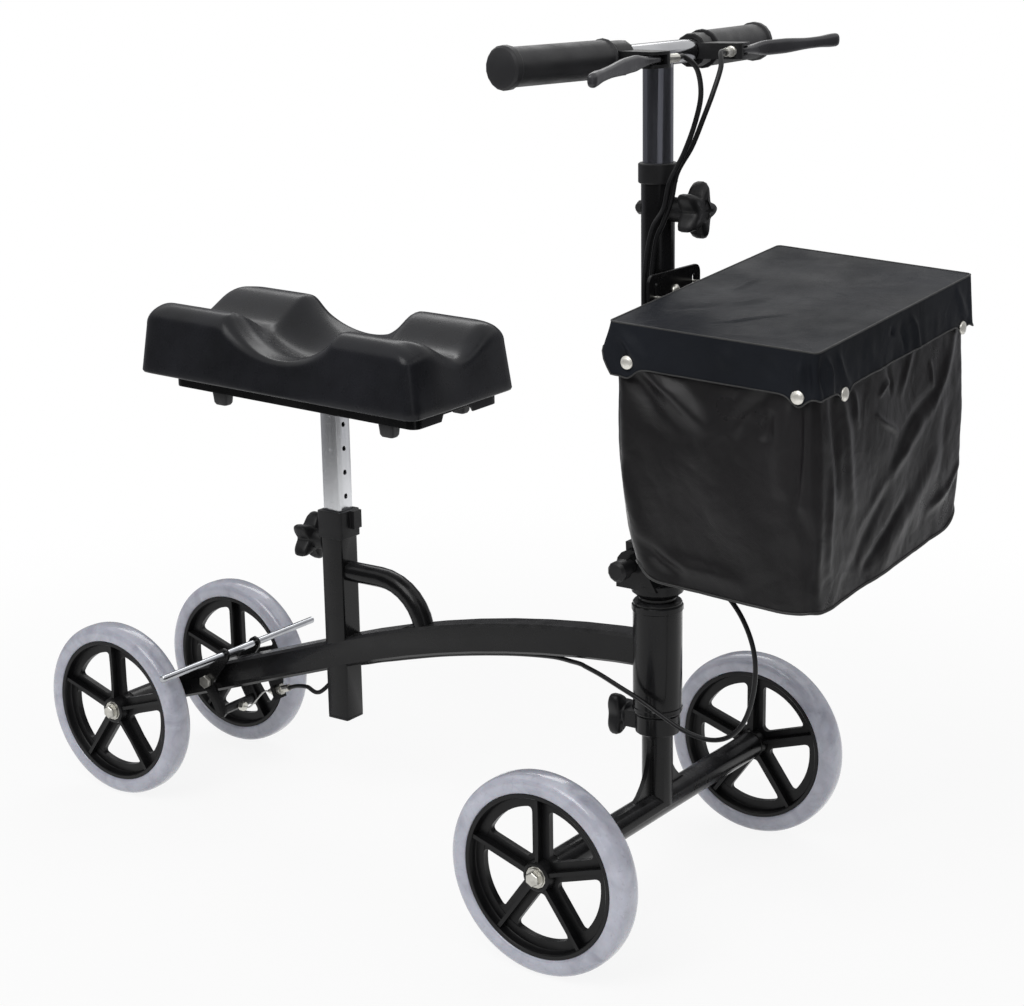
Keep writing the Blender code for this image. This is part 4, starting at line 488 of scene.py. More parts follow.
# Half profiles as (radius, width) pairs, in millimetres
TYRE_PROFILE = (
    (81.6, 12.2), (82.4, 13.4), (84.2, 14.1), (88, 14.5), (92, 14.4), (95.2, 13.4), (97.6, 11.4),
    (99.1, 8.6), (99.8, 5.4), (100, 2.4))
DRUM_PROFILE = ((66.6, 3.6), (75.4, 3.8), (76.4, 5), (77.2, 12.2), (78, 12.9), (81.3, 12.9))
WEB_PROFILE = ((8, 3.2), (68, 3.2))
HUB_PROFILE = ((0.01, 12.9), (13.2, 12.9), (14.4, 12.2), (15.2, 9), (16, 4))
# Whole profile of the bore; radius, half depth and half thickness along a rib
BORE_PROFILE = ((0.01, 20), (0.01, -20), (11.3, -20), (11.3, 20))
RIB_STATIONS = ((12, 11.2, 2.0), (40, 10.2, 1.7), (77.5, 11.2, 2.0))
SPOKE_HALF, WINDOW_INNER, WINDOW_OUTER, WINDOW_CORNER = 9.6, 20, 66.7, 6.5


def both_sides(half):
    """A half profile, and back along its mirror image."""
    return [*half, *((radius, -width) for radius, width in reversed(half))]


def tyre(name, centre):
    """Solid grey tyre with round shoulders and a raised bead beside the rim."""
    profile = [(radius, -width) for radius, width in both_sides(TYRE_PROFILE)]
    shape = revolved(profile, 120, "Y", centre, True)
    piece(name + "_tyre_skin", shape, TYRE, name + "_wheel", 60, (name + "_tyre",))


def window(spoke_half, inner, outer, round_by):
    """Outline of the opening between two spokes, about the direction of its middle."""
    half_angle = pi / SPOKES
    offset = spoke_half / sin(half_angle)
    apex = Vector((offset, 0))
    edge = Vector((cos(half_angle), sin(half_angle)))
    reach = -apex.dot(edge) + sqrt(apex.dot(edge) ** 2 + outer ** 2 - offset ** 2)
    corner = apex + edge * reach

    def bent(a, b, c):
        return [(1 - t) ** 2 * a + 2 * t * (1 - t) * b + t * t * c for t in (k / 5 for k in range(6))]

    start = apex + edge * max(round_by, inner - offset)
    end = corner - edge * round_by
    rim_angle = atan2(corner.y, corner.x) - round_by / outer
    upper = [start, *bent(end, corner, outer * Vector((cos(rim_angle), sin(rim_angle))))]
    nose = apex + (start - apex) * 0.35
    for k in range(1, 6):
        angle = rim_angle * (1 - k / 6)
        upper.append(outer * Vector((cos(angle), sin(angle))))
    lower = [Vector((p.x, -p.y)) for p in reversed(upper)]
    tip = bent(Vector((start.x, -start.y)), Vector((nose.x, 0)), start)[1:-1]
    return upper + [Vector((outer, 0))] + lower + tip


def rim_mesh():
    """Moulded five-spoke wheel about the origin: drum, web with openings, ribs and hub."""
    def turned(profile, steps, looped=False):
        return formed("form", revolved(profile, steps, looped=looped))

    drum = turned(both_sides(DRUM_PROFILE), 96, True)
    web = turned(both_sides(WEB_PROFILE), 96, True)
    openings = []
    points = window(SPOKE_HALF, WINDOW_INNER, WINDOW_OUTER, WINDOW_CORNER)
    outline = [(p.x * MM, p.y * MM) for p in points]
    for index in range(SPOKES):
        turn = tau * (index + 0.5) / SPOKES
        openings.append(solid([
            [Vector((x * sin(turn) + z * cos(turn), width, x * cos(turn) - z * sin(turn)))
             for x, z in outline] for width in (-8 * MM, 8 * MM)]))
    web = combined(web, openings, "DIFFERENCE")
    parts = [web, turned(both_sides(HUB_PROFILE), 40)]
    for angle in turns(SPOKES):
        turn = Matrix.Rotation(angle, 4, "Y")
        parts.append(solid([
            [turn @ Vector((sx * thin * MM, sy * deep * MM, radius * MM)) for sx, sy in CORNERS]
            for radius, deep, thin in RIB_STATIONS]))
    wheel = combined(drum, parts, "UNION")
    wheel = combined(wheel, [turned(BORE_PROFILE, 32)], "DIFFERENCE")
    mesh = wheel.data
    bpy.data.objects.remove(wheel, do_unlink=True)
    return mesh


def wheels():
    """Tyre and rim of each wheel."""
    rim_form = rim_mesh()
    for name, x, y in WHEELS:
        centre = at(x, y, AXLE_HEIGHT)
        tyre(name, centre)
        shape = bmesh.new()
        shape.from_mesh(rim_form)
        bmesh.ops.remove_doubles(shape, verts=shape.verts, dist=0.00002)
        bmesh.ops.translate(shape, verts=shape.verts, vec=centre)
        rim = piece(
            name + "_rim_skin", shape, RIM_PLASTIC, name + "_wheel", 35, (name + "_rim",))
        softened(rim, 0.7, 40)


# ---- knee pad and its tray

PAD_MIDDLE = (-419, 0)
PAD_HALF = (190, 88)
PAD_BOTTOM = 489
PAD_LEAN = 5
PAD_ROUND = 20
PAD_MARGIN = 30
CROWN_HEIGHT = 74
BOWL_X, BOWL_RADIUS, BOWL_RISE, BOWL_DEPTH = -414.5, 96, 36, 37
TROUGH_HALF, TROUGH_DEPTH = 61, 25
SEAT_PITCH, SEAT_ROLL = -0.034, 0.02


def seat_at(x, y, z):
    """A point of the cushion or the tray, which sit a little low at the front and at the near side."""
    return at(x, y, z + SEAT_PITCH * (x - PAD_MIDDLE[0]) + SEAT_ROLL * y)


def pad_height(x, y):
    """Height of the crown over the pad's underside: four humps, a trough and a round bowl between."""
    across = min(abs(x - BOWL_X), BOWL_RADIUS - 1)
    arch = (sqrt(BOWL_RADIUS ** 2 - across ** 2) - BOWL_RADIUS + BOWL_RISE) / BOWL_RISE
    dip = 0.5 * (arch + hypot(arch, 0.07))
    trough = 0.5 + 0.5 * cos(pi * clamped(y / TROUGH_HALF, -1, 1))
    return CROWN_HEIGHT - BOWL_DEPTH * dip - TROUGH_DEPTH * trough * (1 - 0.35 * dip)


def box_outline(centre, half, bend, count):
    """Rounded rectangle, evenly divided."""
    points = []
    for sx, sy, start in ((1, 1, 0), (-1, 1, 90), (-1, -1, 180), (1, -1, 270)):
        corner = (centre[0] + sx * (half[0] - bend), centre[1] + sy * (half[1] - bend))
        points += arc(corner, bend, start, start + 90, 8)
    return evenly(points, count)


def knee_pad():
    """Moulded cushion: sides that lean in, wide round edges that tighten in the bowl, a contoured crown."""
    outer = box_outline(PAD_MIDDLE, PAD_HALF, 12, 240)
    inner = box_outline(PAD_MIDDLE, (PAD_HALF[0] - PAD_MARGIN, PAD_HALF[1] - PAD_MARGIN), 16, 240)

    def inset(amount):
        return [toward(a, b, amount(a) / PAD_MARGIN) for a, b in zip(outer, inner)]

    def level(spots, height):
        return [seat_at(x, y, PAD_BOTTOM + height(x, y)) for x, y in spots]

    def rounding(spot):
        tightness = 0.3 + 0.7 * clamped((pad_height(*spot) - 36) / 34)
        return PAD_ROUND * tightness

    rings = [
        level(inset(lambda p: 2.4), lambda x, y: 0),
        level(inset(lambda p: 0.7), lambda x, y: 0.8),
        level(inset(lambda p: 0), lambda x, y: 2.6)]
    for share in (0.2, 0.4, 0.6, 0.8):
        rings.append(level(
            inset(lambda p: PAD_LEAN * share), lambda x, y: 2.6 + (0.7 * pad_height(x, y) - 2.6) * share))
    for step in range(13):
        angle = pi / 2 * step / 12
        drop = 0.3 * (1 - sin(angle))
        rings.append(level(
            inset(lambda p: PAD_LEAN + rounding(p) * (1 - cos(angle))),
            lambda x, y: pad_height(x, y) * (1 - drop)))
    crown = inset(lambda p: PAD_LEAN + rounding(p))
    for step in range(1, 34):
        rings.append(level([toward(PAD_MIDDLE, spot, 1 - step / 34) for spot in crown], pad_height))
    pad = piece("knee_pad_cushion", skin(rings), PAD_SKIN, "seat", 60, ("knee_pad",))


def seat_tray():
    """Pressed tray under the cushion: a downturned edge with a cut at the front."""
    middle, half = (-406, 0), (165, 71)

    def ring(inset, height, cut=0):
        loop = box_outline(middle, (half[0] - inset, half[1] - inset), 9 - inset, 260)
        return [seat_at(x, y, height + (cut if x > -250 and abs(y) < 26 else 0)) for x, y in loop]

    rings = [ring(1, 488.9), ring(0, 487.5), ring(0, 476, 7), ring(2.2, 476, 7), ring(2.2, 482)]
    tray = piece("seat_tray", skin(rings), FRAME_PAINT, "seat", 35, ("pad_plate",))
    softened(tray, 0.4, 40)


def seat_blocks():
    """Four rubber buffers under the corners of the tray."""
    shape = bmesh.new()
    for x, y in ((-511, -60), (-283, -60), (-511, 60), (-283, 60)):
        skin([[seat_at(*spot, height) for spot in box_outline((x, y), (9.5 - inset, 7.5 - inset), 2.6, 32)]
              for inset, height in ((0.3, 482), (0, 474), (0.9, 464), (2.2, 461.6), (4.5, 461))], shape=shape)
    piece("seat_buffers", shape, GRIP, "seat", 40)


# ---- bag

BAG_BACK, BAG_FRONT, BAG_SIDE = 46, 246, 149
CORNER_LIFT = {(-1, -1): -8, (1, -1): -17, (1, 1): 7, (-1, 1): 19}
BOTTOM_HEIGHT = {(-1, -1): 388, (1, -1): 377, (1, 1): 398, (-1, 1): 398}
MOUTH_HEIGHT, WIRE_HEIGHT, LID_HEIGHT = 620.5, 617.5, 627.5
FOLD_TOP, FOLD_BOTTOM = 612, 388
HOOK_Y = 34
CLOTH_THICKNESS = 0.9

# Ridges and valleys of the cloth: both ends of each, its half width and its height, in millimetres.
NEAR_FOLDS = (
    (74, 586, 136, 544, 9, 3.5), (58, 579, 112, 531, 12, -3), (207, 594, 175, 544, 9, -3.5),
    (205, 560, 200, 539, 5, -2), (172, 578, 141, 512, 16, 2.5), (232, 574, 232, 482, 4, -2.2),
    (243, 578, 247, 439, 5, 2.2), (239, 472, 248, 416, 5, -2.5), (104, 412, 174, 405, 8, 2),
    (77, 416, 112, 402, 7, -2.5), (57, 474, 77, 419, 9, 2), (131, 511, 189, 427, 26, 2),
    (221, 574, 216, 503, 8, 1.8))
FRONT_FOLDS = (
    (-81, 566, -74, 539, 3.5, 2), (-33, 554, -13, 560, 2.5, 2.2), (-34, 534, 3, 510, 2.5, 2.4),
    (-14, 572, -10, 550, 3, -1.6), (78, 529, 14, 502, 7, -3), (52, 506, -50, 452, 8, 3),
    (137, 432, 81, 418, 5, 2.4), (88, 466, -21, 396, 12, 2.6), (18, 442, -48, 407, 5, -2.4),
    (-120, 568, -112, 497, 5, -2.6), (-124, 500, -123, 430, 5, 2.4), (-100, 558, -84, 476, 7, 2.2),
    (41, 580, 11, 546, 5, 2.2), (70, 555, 77, 534, 2.5, 1.6), (108, 506, 100, 458, 8, -2),
    (125, 571, 79, 514, 7, 2.6), (0, 487, -73, 413, 9, -2.4))
SKIRT_NEAR_FOLDS = (
    (50, 627, 80, 599, 6, 3.0), (57, 612, 65, 594, 5, -2), (232, 619, 231, 596, 3, 2.4),
    (241, 625, 243, 596, 3.5, -2.6), (236, 626, 237, 597, 2.5, 2), (158, 621, 168, 605, 9, 2),
    (113, 620, 116, 602, 10, -1.2), (203, 623, 208, 602, 8, -1.6))
SKIRT_FRONT_FOLDS = (
    (-139, 623, -126, 592, 3.5, 3), (-149, 627, -143, 595, 3, -2.6), (-116, 619, -97, 589, 4, 2.4),
    (25, 617, 40, 590, 4, 2.6), (4, 617, 11, 595, 4, -2), (-14, 617, -17, 611, 3, -1.8),
    (117, 627, 144, 589, 5, 2), (-62, 615, -41, 589, 9, 1.4))
TOP_FOLDS = (
    (124, -108, 165, -56, 4, -1.8), (64, -90, 125, -32, 11, -2.2), (103, -59, 126, 6, 10, 1.6),
    (141, 48, 215, 107, 14, -1.4), (144, -130, 225, -92, 16, -1.5), (85, 39, 83, 3, 5, 1.6),
    (199, -41, 240, 83, 18, 1.2))


def corner_blend(values, x, y):
    """Bilinear mix of four corner values over the bag's plan."""
    s = clamped((x - BAG_BACK) / (BAG_FRONT - BAG_BACK), -0.05, 1.05)
    t = clamped((y + BAG_SIDE) / (2 * BAG_SIDE), -0.05, 1.05)
    rear = values[-1, -1] * (1 - t) + values[-1, 1] * t
    fore = values[1, -1] * (1 - t) + values[1, 1] * t
    return rear * (1 - s) + fore * s


def plan(back, front, side, corner, count):
    """Rounded rectangle in the bag's plan, evenly divided, from the middle of the back."""
    points = [(back, 0)]
    for sx, sy, start in ((-1, -1, 180), (1, -1, 270), (1, 1, 0), (-1, 1, 90)):
        bend = corner[sx, sy] if isinstance(corner, dict) else corner
        centre = ((back + bend) if sx < 0 else (front - bend), sy * (side - bend))
        points += arc(centre, bend, start, start + 90, 8)
    return evenly(points, count)


def outward(loop):
    """Outward directions of a closed outline at its points."""
    directions = []
    for before, after in zip(loop[-1:] + loop[:-1], loop[1:] + loop[:1]):
        along = Vector((after[0] - before[0], after[1] - before[1])).normalized()
        directions.append(Vector((along.y, -along.x)))
    return directions


def folds(lines, a, b):
    """Height of the cloth over its smooth form where ridges and valleys run, fading at their ends."""
    total = 0.0
    for start_a, start_b, end_a, end_b, width, height in lines:
        reach = Vector((end_a - start_a, end_b - start_b))
        offset = Vector((a - start_a, b - start_b))
        along = offset.dot(reach) / reach.length_squared
        if -0.2 < along < 1.2:
            aside = (offset.x * reach.y - offset.y * reach.x) / reach.length
            aside += 1.2 * sin(along * 5 + start_a)
            total += height * sin(pi * (along + 0.2) / 1.4) ** 0.8 * exp(-(aside / width) ** 2)
    return total


def crumple(place, size, stretch, seed):
    """Soft small folds: noise drawn out along the stretch, between -1 and 1."""
    spot = Vector((place[0] * stretch[0], place[1] * stretch[1], place[2] * stretch[2])) * size
    return noise.fractal(spot + Vector((seed, seed * 0.7, 0)), 0.9, 2.1, 3)


def corner_rise(u, v, back):
    """How much the bottom edge turns up at the corners, which hang slack."""
    rise = 0.0
    for x, side, most in ((back, -1, 27), (back, 1, 27), (BAG_FRONT, 1, 24), (BAG_FRONT, -1, 5)):
        rise += most * max(0, 1 - hypot(u - x, v - side * BAG_SIDE) / 38) ** 2
    return rise


def thickened(item):
    """Gives a sheet of cloth its thickness, on its inner side."""
    thick = item.modifiers.new("cloth", "SOLIDIFY")
    thick.thickness = CLOTH_THICKNESS * MM
    thick.offset = -1


def piped(name, loops, body):
    """Round piping along closed loops, given with their radii in millimetres."""
    trim = bmesh.new()
    for path, radius in loops:
        hoop(trim, path, radius * MM)
    return piece(name, trim, PIPING, body, 60)


def bag():
    """Cloth bag: walls that hang from the wire, crease, and turn under to a seam and a slack bottom."""
    rows = 110
    rings = []
    for row in range(rows + 1):
        down = row / rows
        low = max(0, (down - 0.72) / 0.28) ** 2
        back = BAG_BACK + 4 * down + 6 * down ** 3
        corners = {key: 11 + 20 * low for key in ((-1, -1), (-1, 1))}
        corners[1, -1], corners[1, 1] = 9 + 5 * low, 11 + 8 * low
        loop = plan(back, BAG_FRONT + 3 * down, BAG_SIDE, corners, 360)
        ring = []
        for (u, v), out in zip(loop, outward(loop)):
            lift = corner_blend(CORNER_LIFT, u, v)
            notch = 8 * exp(-((abs(v) - HOOK_Y) / 5) ** 2) if u < back + 3 else 0
            top = MOUTH_HEIGHT + lift - notch
            bottom = corner_blend(BOTTOM_HEIGHT, u, v) + corner_rise(u, v, back)
            height = top + (bottom - top) * down
            level = FOLD_TOP + (FOLD_BOTTOM - FOLD_TOP) * down
            hanging = sin(pi * min(down * 1.04, 1)) ** 2
            flatness = max(abs(out.x), abs(out.y)) ** 6
            push = 3.0 * hanging * flatness
            push += 1.9 * folds(NEAR_FOLDS, u, level) * max(0, -out.y) ** 3
            push += folds(FRONT_FOLDS, v, level) * max(0, out.x) ** 3
            push += 1.9 * folds(NEAR_FOLDS, BAG_BACK + BAG_FRONT - u, level + 9) * max(0, out.y) ** 3
            push += 1.3 * crumple((u, v, height), 0.022, (0.7, 0.7, 0.4), 3.0)
            aslant = (u + 0.4 * height, v - 0.4 * height, height)
            push += 0.5 * crumple(aslant, 0.07, (0.7, 0.7, 0.35), 11.0)
            free = min(1, max(0, down - 0.06) * 7)
            ring.append(at(u + out.x * push * free, v + out.y * push * free, height))
        rings.append(ring)
    seam = rings[-1]
    centre = sum(seam, Vector()) / len(seam)
    for share, drop in ((0.985, 2.5), (0.95, 4.5), (0.88, 5.5), (0.75, 6), (0.55, 6.5), (0.35, 6.5),
                        (0.15, 6.5), (0.04, 6.5)):
        flat = max(0, share - 0.35) / 0.65
        rings.append([Vector((*toward(centre, p, share), centre.z + (p.z - centre.z) * flat - drop * MM))
                      for p in seam])
    shape = skin(rings, caps=(-1,))
    thickened(piece("bag_shell", shape, BAG_CLOTH, "column", 80, ("bag_body",)))
    piped("bag_piping", ((rings[0], 1.8), (seam, 1.3)), "column")


def bag_ring():
    """Wire round the bag's mouth, with two hooks that go through the bracket."""
    loop = plan(BAG_BACK + 4.5, BAG_FRONT - 4.5, BAG_SIDE - 4.5, 12, 140)
    shape = bmesh.new()
    hoop(shape, [at(u, v, WIRE_HEIGHT + corner_blend(CORNER_LIFT, u, v)) for u, v in loop], 1.8 * MM)
    for _, side in SIDES:
        y = side * HOOK_Y
        z = WIRE_HEIGHT + corner_blend(CORNER_LIFT, BAG_BACK, y)
        stations = ((BAG_BACK + 4.8, 0), (30, 0.3), (18, 0), (12.5, -2.5), (11.5, -9), (11.5, -14))
        sweep(shape, smooth_path([at(x, y, z + rise) for x, rise in stations], 5), 1.6 * MM, 8)
    piece("bag_wire_ring", shape, ZINC, "column", 60, ("bag_wire",))


SKIRT_TOP, SKIRT_BOTTOM = 626, 589
LID_EDGE = 1.3
STUDS = (("near", 64, 584), ("near", 233, 571.5), ("front", -106, 567.5), ("front", 132, 587),
         ("far", 233, 594), ("far", 64, 602))


def stud_tab(face, along):
    """How far the skirt reaches down over the studs, in millimetres."""
    return sum(9 * exp(-((along - place) / 9) ** 2) for name, place, _ in STUDS if name == face)


def lid():
    """Cloth lid: a creased top over the wire, a folded edge, and a skirt with gathered corners."""
    back, front, side = BAG_BACK - 2, BAG_FRONT + 4.5, BAG_SIDE + 4.5
    loop = plan(back, front, side, 5, 420)
    directions = outward(loop)

    def top_height(u, v):
        soft = eased(min(u - back, front - u, v + side, side - v) / 34)
        height = LID_HEIGHT + corner_blend(CORNER_LIFT, u, v) - 2.6 * soft
        return height + soft * (folds(TOP_FOLDS, u, v) + 0.9 * crumple((u, v, 0), 0.018, (1, 0.7, 1), 21.0))

    rings = []
    for step in range(1, 60):
        spots = [toward(((back + front) / 2, 0), spot, step / 60) for spot in loop]
        rings.append([at(u, v, top_height(u, v)) for u, v in spots])
    for step in range(4):
        angle = pi / 2 * step / 3
        grow = LID_EDGE * sin(angle) - LID_EDGE
        rings.append([
            at(u + out.x * grow, v + out.y * grow, top_height(u, v) - LID_EDGE * (1 - cos(angle)))
            for (u, v), out in zip(loop, directions)])
    edge_ring = rings[-3]
    for row in range(1, 27):
        down = row / 26
        level = SKIRT_TOP + (SKIRT_BOTTOM - SKIRT_TOP) * down
        ring = []
        for (u, v), out in zip(loop, directions):
            near, fore, far = max(0, -out.y) ** 3, max(0, out.x) ** 3, max(0, out.y) ** 3
            tabs = near * stud_tab("near", u) + fore * stud_tab("front", v) + far * stud_tab("far", u)
            tail = exp(-((u - back - 3) ** 2 + (abs(v) - side) ** 2) / 90)
            point = exp(-((u - front) ** 2 + (v - side) ** 2) / 60)
            length = 14 + clamped((u - back - 1) / 8) * (23.5 + 3 * fore + tabs) + 10 * tail + 8 * point
            flare = 1.5 * near * folds(SKIRT_NEAR_FOLDS, u, level)
            flare += fore * folds(SKIRT_FRONT_FOLDS, v, level)
            flare += far * folds(SKIRT_NEAR_FOLDS, BAG_BACK + BAG_FRONT - u, level + 4)
            flare = down + flare * min(1, down * 3)
            flare += (0.9 * crumple((u, v, 30 * down), 0.05, (1, 1, 0.5), 5.0) + 3.5 * point) * down
            height = top_height(u, v) - LID_EDGE - length * down
            ring.append(at(
                u + out.x * flare - 7 * tail * down ** 1.3, v + out.y * flare - 2 * tail * down, height))
        rings.append(ring)
    cloth = piece("bag_lid_cloth", skin(rings, caps=(0,)), LID_CLOTH_PAINTED_REFLECTION, None, 80, ("bag_lid",))
    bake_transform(cloth)
    thickened(cloth)
    for name, path, radius in (("bag_lid_piping", edge_ring, 0.9), ("bag_lid_hem", rings[-1], 0.8)):
        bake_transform(piped(name, ((path, radius),), None))
    return cloth


def studs():
    """Pale snap studs at the skirt's corners: a flat dome inside a ring."""
    profile = (
        (6.2, -0.6), (6.2, 0.5), (5.7, 1.0), (5.0, 1.1), (4.6, 1.4), (3.4, 1.9), (1.8, 2.2), (0.02, 2.3))
    for index, (face, along, height) in enumerate(STUDS):
        out, place = {
            "near": ((0, -1, 0), (along, -155.2)),
            "front": ((1, 0, 0), (252.2, along)),
            "far": ((0, 1, 0), (along, 155.2))}[face]
        turn = Vector(out).to_track_quat("Z", "Y")
        rings = [[at(*place, height) + turn @ Vector((radius * cos(a), radius * sin(a), rise)) * MM
                  for a in turns(24)] for radius, rise in profile]
        piece("snap_stud_%d" % (index + 1), skin(rings), STUD, "bag_lid", 50)


def bracket():
    """Low plate across the column's front: round upper corners, a tall slot at each side, one screw."""
    def slab(centre, half, bend, x0, x1, count):
        loop = box_outline(centre, half, bend, count)
        return solid([[at(x, y, z) for y, z in loop] for x in (x0, x1)])

    plate = slab((0, 620.5), (46, 21.5), 8, 16.2, 19.2, 96)
    slots = [slab((side * HOOK_Y, 625), (2.6, 8.5), 2.5, 10, 25, 40) for _, side in SIDES]
    plate = combined(plate, slots, "DIFFERENCE")
    shape = bmesh.new()
    shape.from_mesh(plate.data)
    bpy.data.objects.remove(plate, do_unlink=True)
    plate = piece("bag_bracket", shape, FRAME_PAINT, "column", 35, ("basket_bracket",))
    softened(plate, 0.4)
    profile = ((0.02, 16.5), (3.2, 16.5), (3.2, 19.2), (6, 19.25), (6, 20.4), (5.2, 21.4), (3.4, 22.4),
               (2.4, 22.7), (2.1, 21.2), (0.02, 21.2))
    screw = revolved(profile, 24, "X", at(0, 0, 622))
    piece("bracket_screw", screw, ZINC, "column", 40, ("bracket_bolt",))


# ---- knobs

def star(node, boss, face, height, direction, radius, thickness, lobes):
    """Star knob about an X axis: hub, dished face and round lobes."""
    stations = [(4, 0, boss - 2), (11, 0, boss), (11.6, 0, boss + 0.6), (11.6, 0, face - 1)]
    for size, drawn, along in ((0.70, 0.36, 0), (0.86, 0.42, 0.03), (0.95, 0.45, 0.11), (1.0, 0.47, 0.3),
                               (1.0, 0.47, 0.62), (0.95, 0.46, 0.82), (0.86, 0.42, 0.94), (0.7, 0.34, 1.0),
                               (0.4, 0.1, 1.02), (0.36, 0.0, 0.96), (0.02, 0.0, 0.94)):
        stations.append((radius * size, drawn, face + thickness * along))
    rings = []
    for size, drawn, place in stations:
        ring = []
        for angle in turns(lobes * 18):
            bump = 1 - drawn * (0.5 - 0.5 * cos(lobes * angle)) ** 0.75
            ring.append(at(direction * place, size * bump * cos(angle),
                           height + size * bump * sin(angle)))
        rings.append(ring)
    piece(node + "_star", skin(rings), PLASTIC, node, 50, (node,))


def knobs():
    star("stem_knob", 16.2, 33, 698, 1, 28, 18, 5)
    star("seat_knob", 423.5, 437.5, 311, -1, 28, 18, 5)
    star("collar_knob", 33.3, 37, 189, -1, 24, 14, 3)


# ---- levers

# A blade's start, sweep, length, boss radius, where its tip starts to round, half depth
LEVER_START = (-2.318, 69.89, 840)
LEVER_SWEEP = radians(7)
LEVER_LENGTH, LEVER_BOSS, LEVER_TIP, LEVER_DEEP = 136, 6.5, 134, 3.9


def levers():
    """Brake levers: a bowed blade, deep in its first half, with a waist before its rounded tip."""
    turn = Matrix.Rotation(LEVER_SWEEP, 3, "Z")
    stations = (-6.45, -6.2, -5.4, -4, -2, *range(0, 136, 4), 135, 137, 138.6, 139.8, 140.5, 140.8)

    def squared(value):
        """A cosine or sine that makes a circle squarer."""
        return copysign(abs(value) ** 0.8, value)

    for (name, side), droop in zip(SIDES, (-8, 3)):
        rings = []
        for along in stations:
            t = clamped(along / LEVER_LENGTH)
            bow = 45 + 44.6 * t ** 1.15
            swell = eased((along - 12) / 30) - 0.55 * eased((along - 62) / 38)
            swell += 0.35 * eased((along - 112) / 20)
            wide = LEVER_BOSS - 2.9 * eased(along / 30) + 0.9 * eased((along - 108) / 24)
            deep = LEVER_DEEP + 3.2 * swell
            if along < 0:
                wide = sqrt(max(LEVER_BOSS ** 2 - along ** 2, 0.01))
                deep = min(wide, LEVER_DEEP)
            if along > LEVER_TIP:
                closing = sqrt(max(1 - ((along - LEVER_TIP) / 6.9) ** 2, 0.0004))
                wide, deep = wide * closing, deep * (0.35 + 0.65 * closing)
            ring = []
            for angle in turns(24):
                across = bow + squared(cos(angle)) * wide
                height = squared(sin(angle)) * deep + droop * t ** 2
                spot = Vector(LEVER_START) + turn @ Vector((across, along, height))
                ring.append(at(spot.x, side * spot.y, spot.z))
            rings.append(ring)
        piece(name + "_lever_blade", skin(rings), LEVER, name + "_lever", 60,
              (name + "_brake_lever",))


# ---- cables

RIGHT_ROUTE = (
    (46.4, -42, 840), (47.7, -32.1, 840), (54, -21, 829), (53, -12, 806), (47, -12, 780), (37, -15, 752),
    (25, -20, 726), (20, -22, 702), (11, -26.5, 684), (5, -27.5, 658), (1, -26.5, 620), (4, -24.5, 590),
    (5.4, -24, 576), (5.4, -24, 566.2))
LEFT_ROUTE = (
    (46.4, 42, 840), (47.7, 32.1, 840), (55, 20, 828), (54, 8, 806), (49, 0, 784), (41, -7, 758),
    (29, -13, 734), (24.5, -16, 709), (18, -19.5, 688), (10.5, -21, 669), (5, -20.5, 625), (9, -21.5, 590),
    (10.6, -22, 576), (10.6, -22, 566.2))
LOOP_ROUTE = (
    (8, -23, 535.4), (8, -23, 523.4), (10, -24, 490), (18, -28, 440), (34, -34, 402), (60, -39, 372),
    (92, -41, 354), (116, -41, 330), (130, -40, 298), (132, -40, 264), (123, -40, 228), (106, -40, 206),
    (82, -39, 197), (54, -38, 200), (28, -37, 210), (0, -35, 221), (-26, -31, 228), (-52, -24, 233),
    (-76, -15, 234.5))
REAR_ROUTE = (
    (-76.5, -14.8, 234.5), (-83, -12.4, 234.9), (-98, -6, 233), (-130, 2, 230.1), (-190, 7, 220.8),
    (-270, 10, 204.2), (-345, 13, 184), (-381.5, 17.6, 172.5), (-418.5, 17.6, 158.7), (-442.4, 0, 131.1),
    (-462, 0, 132.9), (-476.2, 0, 131.2), (-488.2, 0, 127.1))
WIRE_ROUTE = ((-520, 0, 116.3), (-529.2, 0, 113.1), (-550, 0, 92), (-558, 0, 90))
LOOP_SPLIT = 9
ROUTE_STEPS = 10
CABLE_RADIUS, WIRE_RADIUS = 2.4, 0.9


def routed(route):
    return smooth_path([at(*p) for p in route], ROUTE_STEPS)


def cable(name, path, body, stands_for, radius=CABLE_RADIUS, finish=JACKET):
    shape = bmesh.new()
    sweep(shape, path, radius * MM)
    return piece(name, shape, finish, body, 60, stands_for)


def cables():
    """Brake cables, swept along curved routes between the parts at their ends, and the bare wire at the
    brake.
    """
    for name, route in (("right", RIGHT_ROUTE), ("left", LEFT_ROUTE)):
        item = cable("cable_from_" + name + "_lever", routed(route), None, ("brake_cable_" + name,))
        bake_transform(item)
    path = routed(LOOP_ROUTE)
    split = LOOP_SPLIT * ROUTE_STEPS
    upper = cable("cable_loop_upper", path[:split + 1], None, ("brake_cable_front",))
    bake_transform(upper)
    lower = cable("cable_loop_lower", path[split:], None, ())
    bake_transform(lower)
    cable("cable_under_beam", routed(REAR_ROUTE), "frame", ("brake_cable_rear",))
    cable("brake_wire_strand", routed(WIRE_ROUTE), "frame", ("brake_wire",), WIRE_RADIUS, WIRE)


# ---- floor, light and camera

def bare_tree(owner):
    """The emptied node tree of a new material or world."""
    owner.use_nodes = True
    owner.node_tree.nodes.clear()
    return owner.node_tree


def seen_rays(tree):
    """1 for what is seen straight, in a reflection or through something clear."""
    rays = add(tree, "ShaderNodeLightPath").outputs
    seen = maths(tree, "MAXIMUM", rays["Is Camera Ray"], rays["Is Glossy Ray"])
    return maths(tree, "MAXIMUM", seen, rays["Is Transmission Ray"])


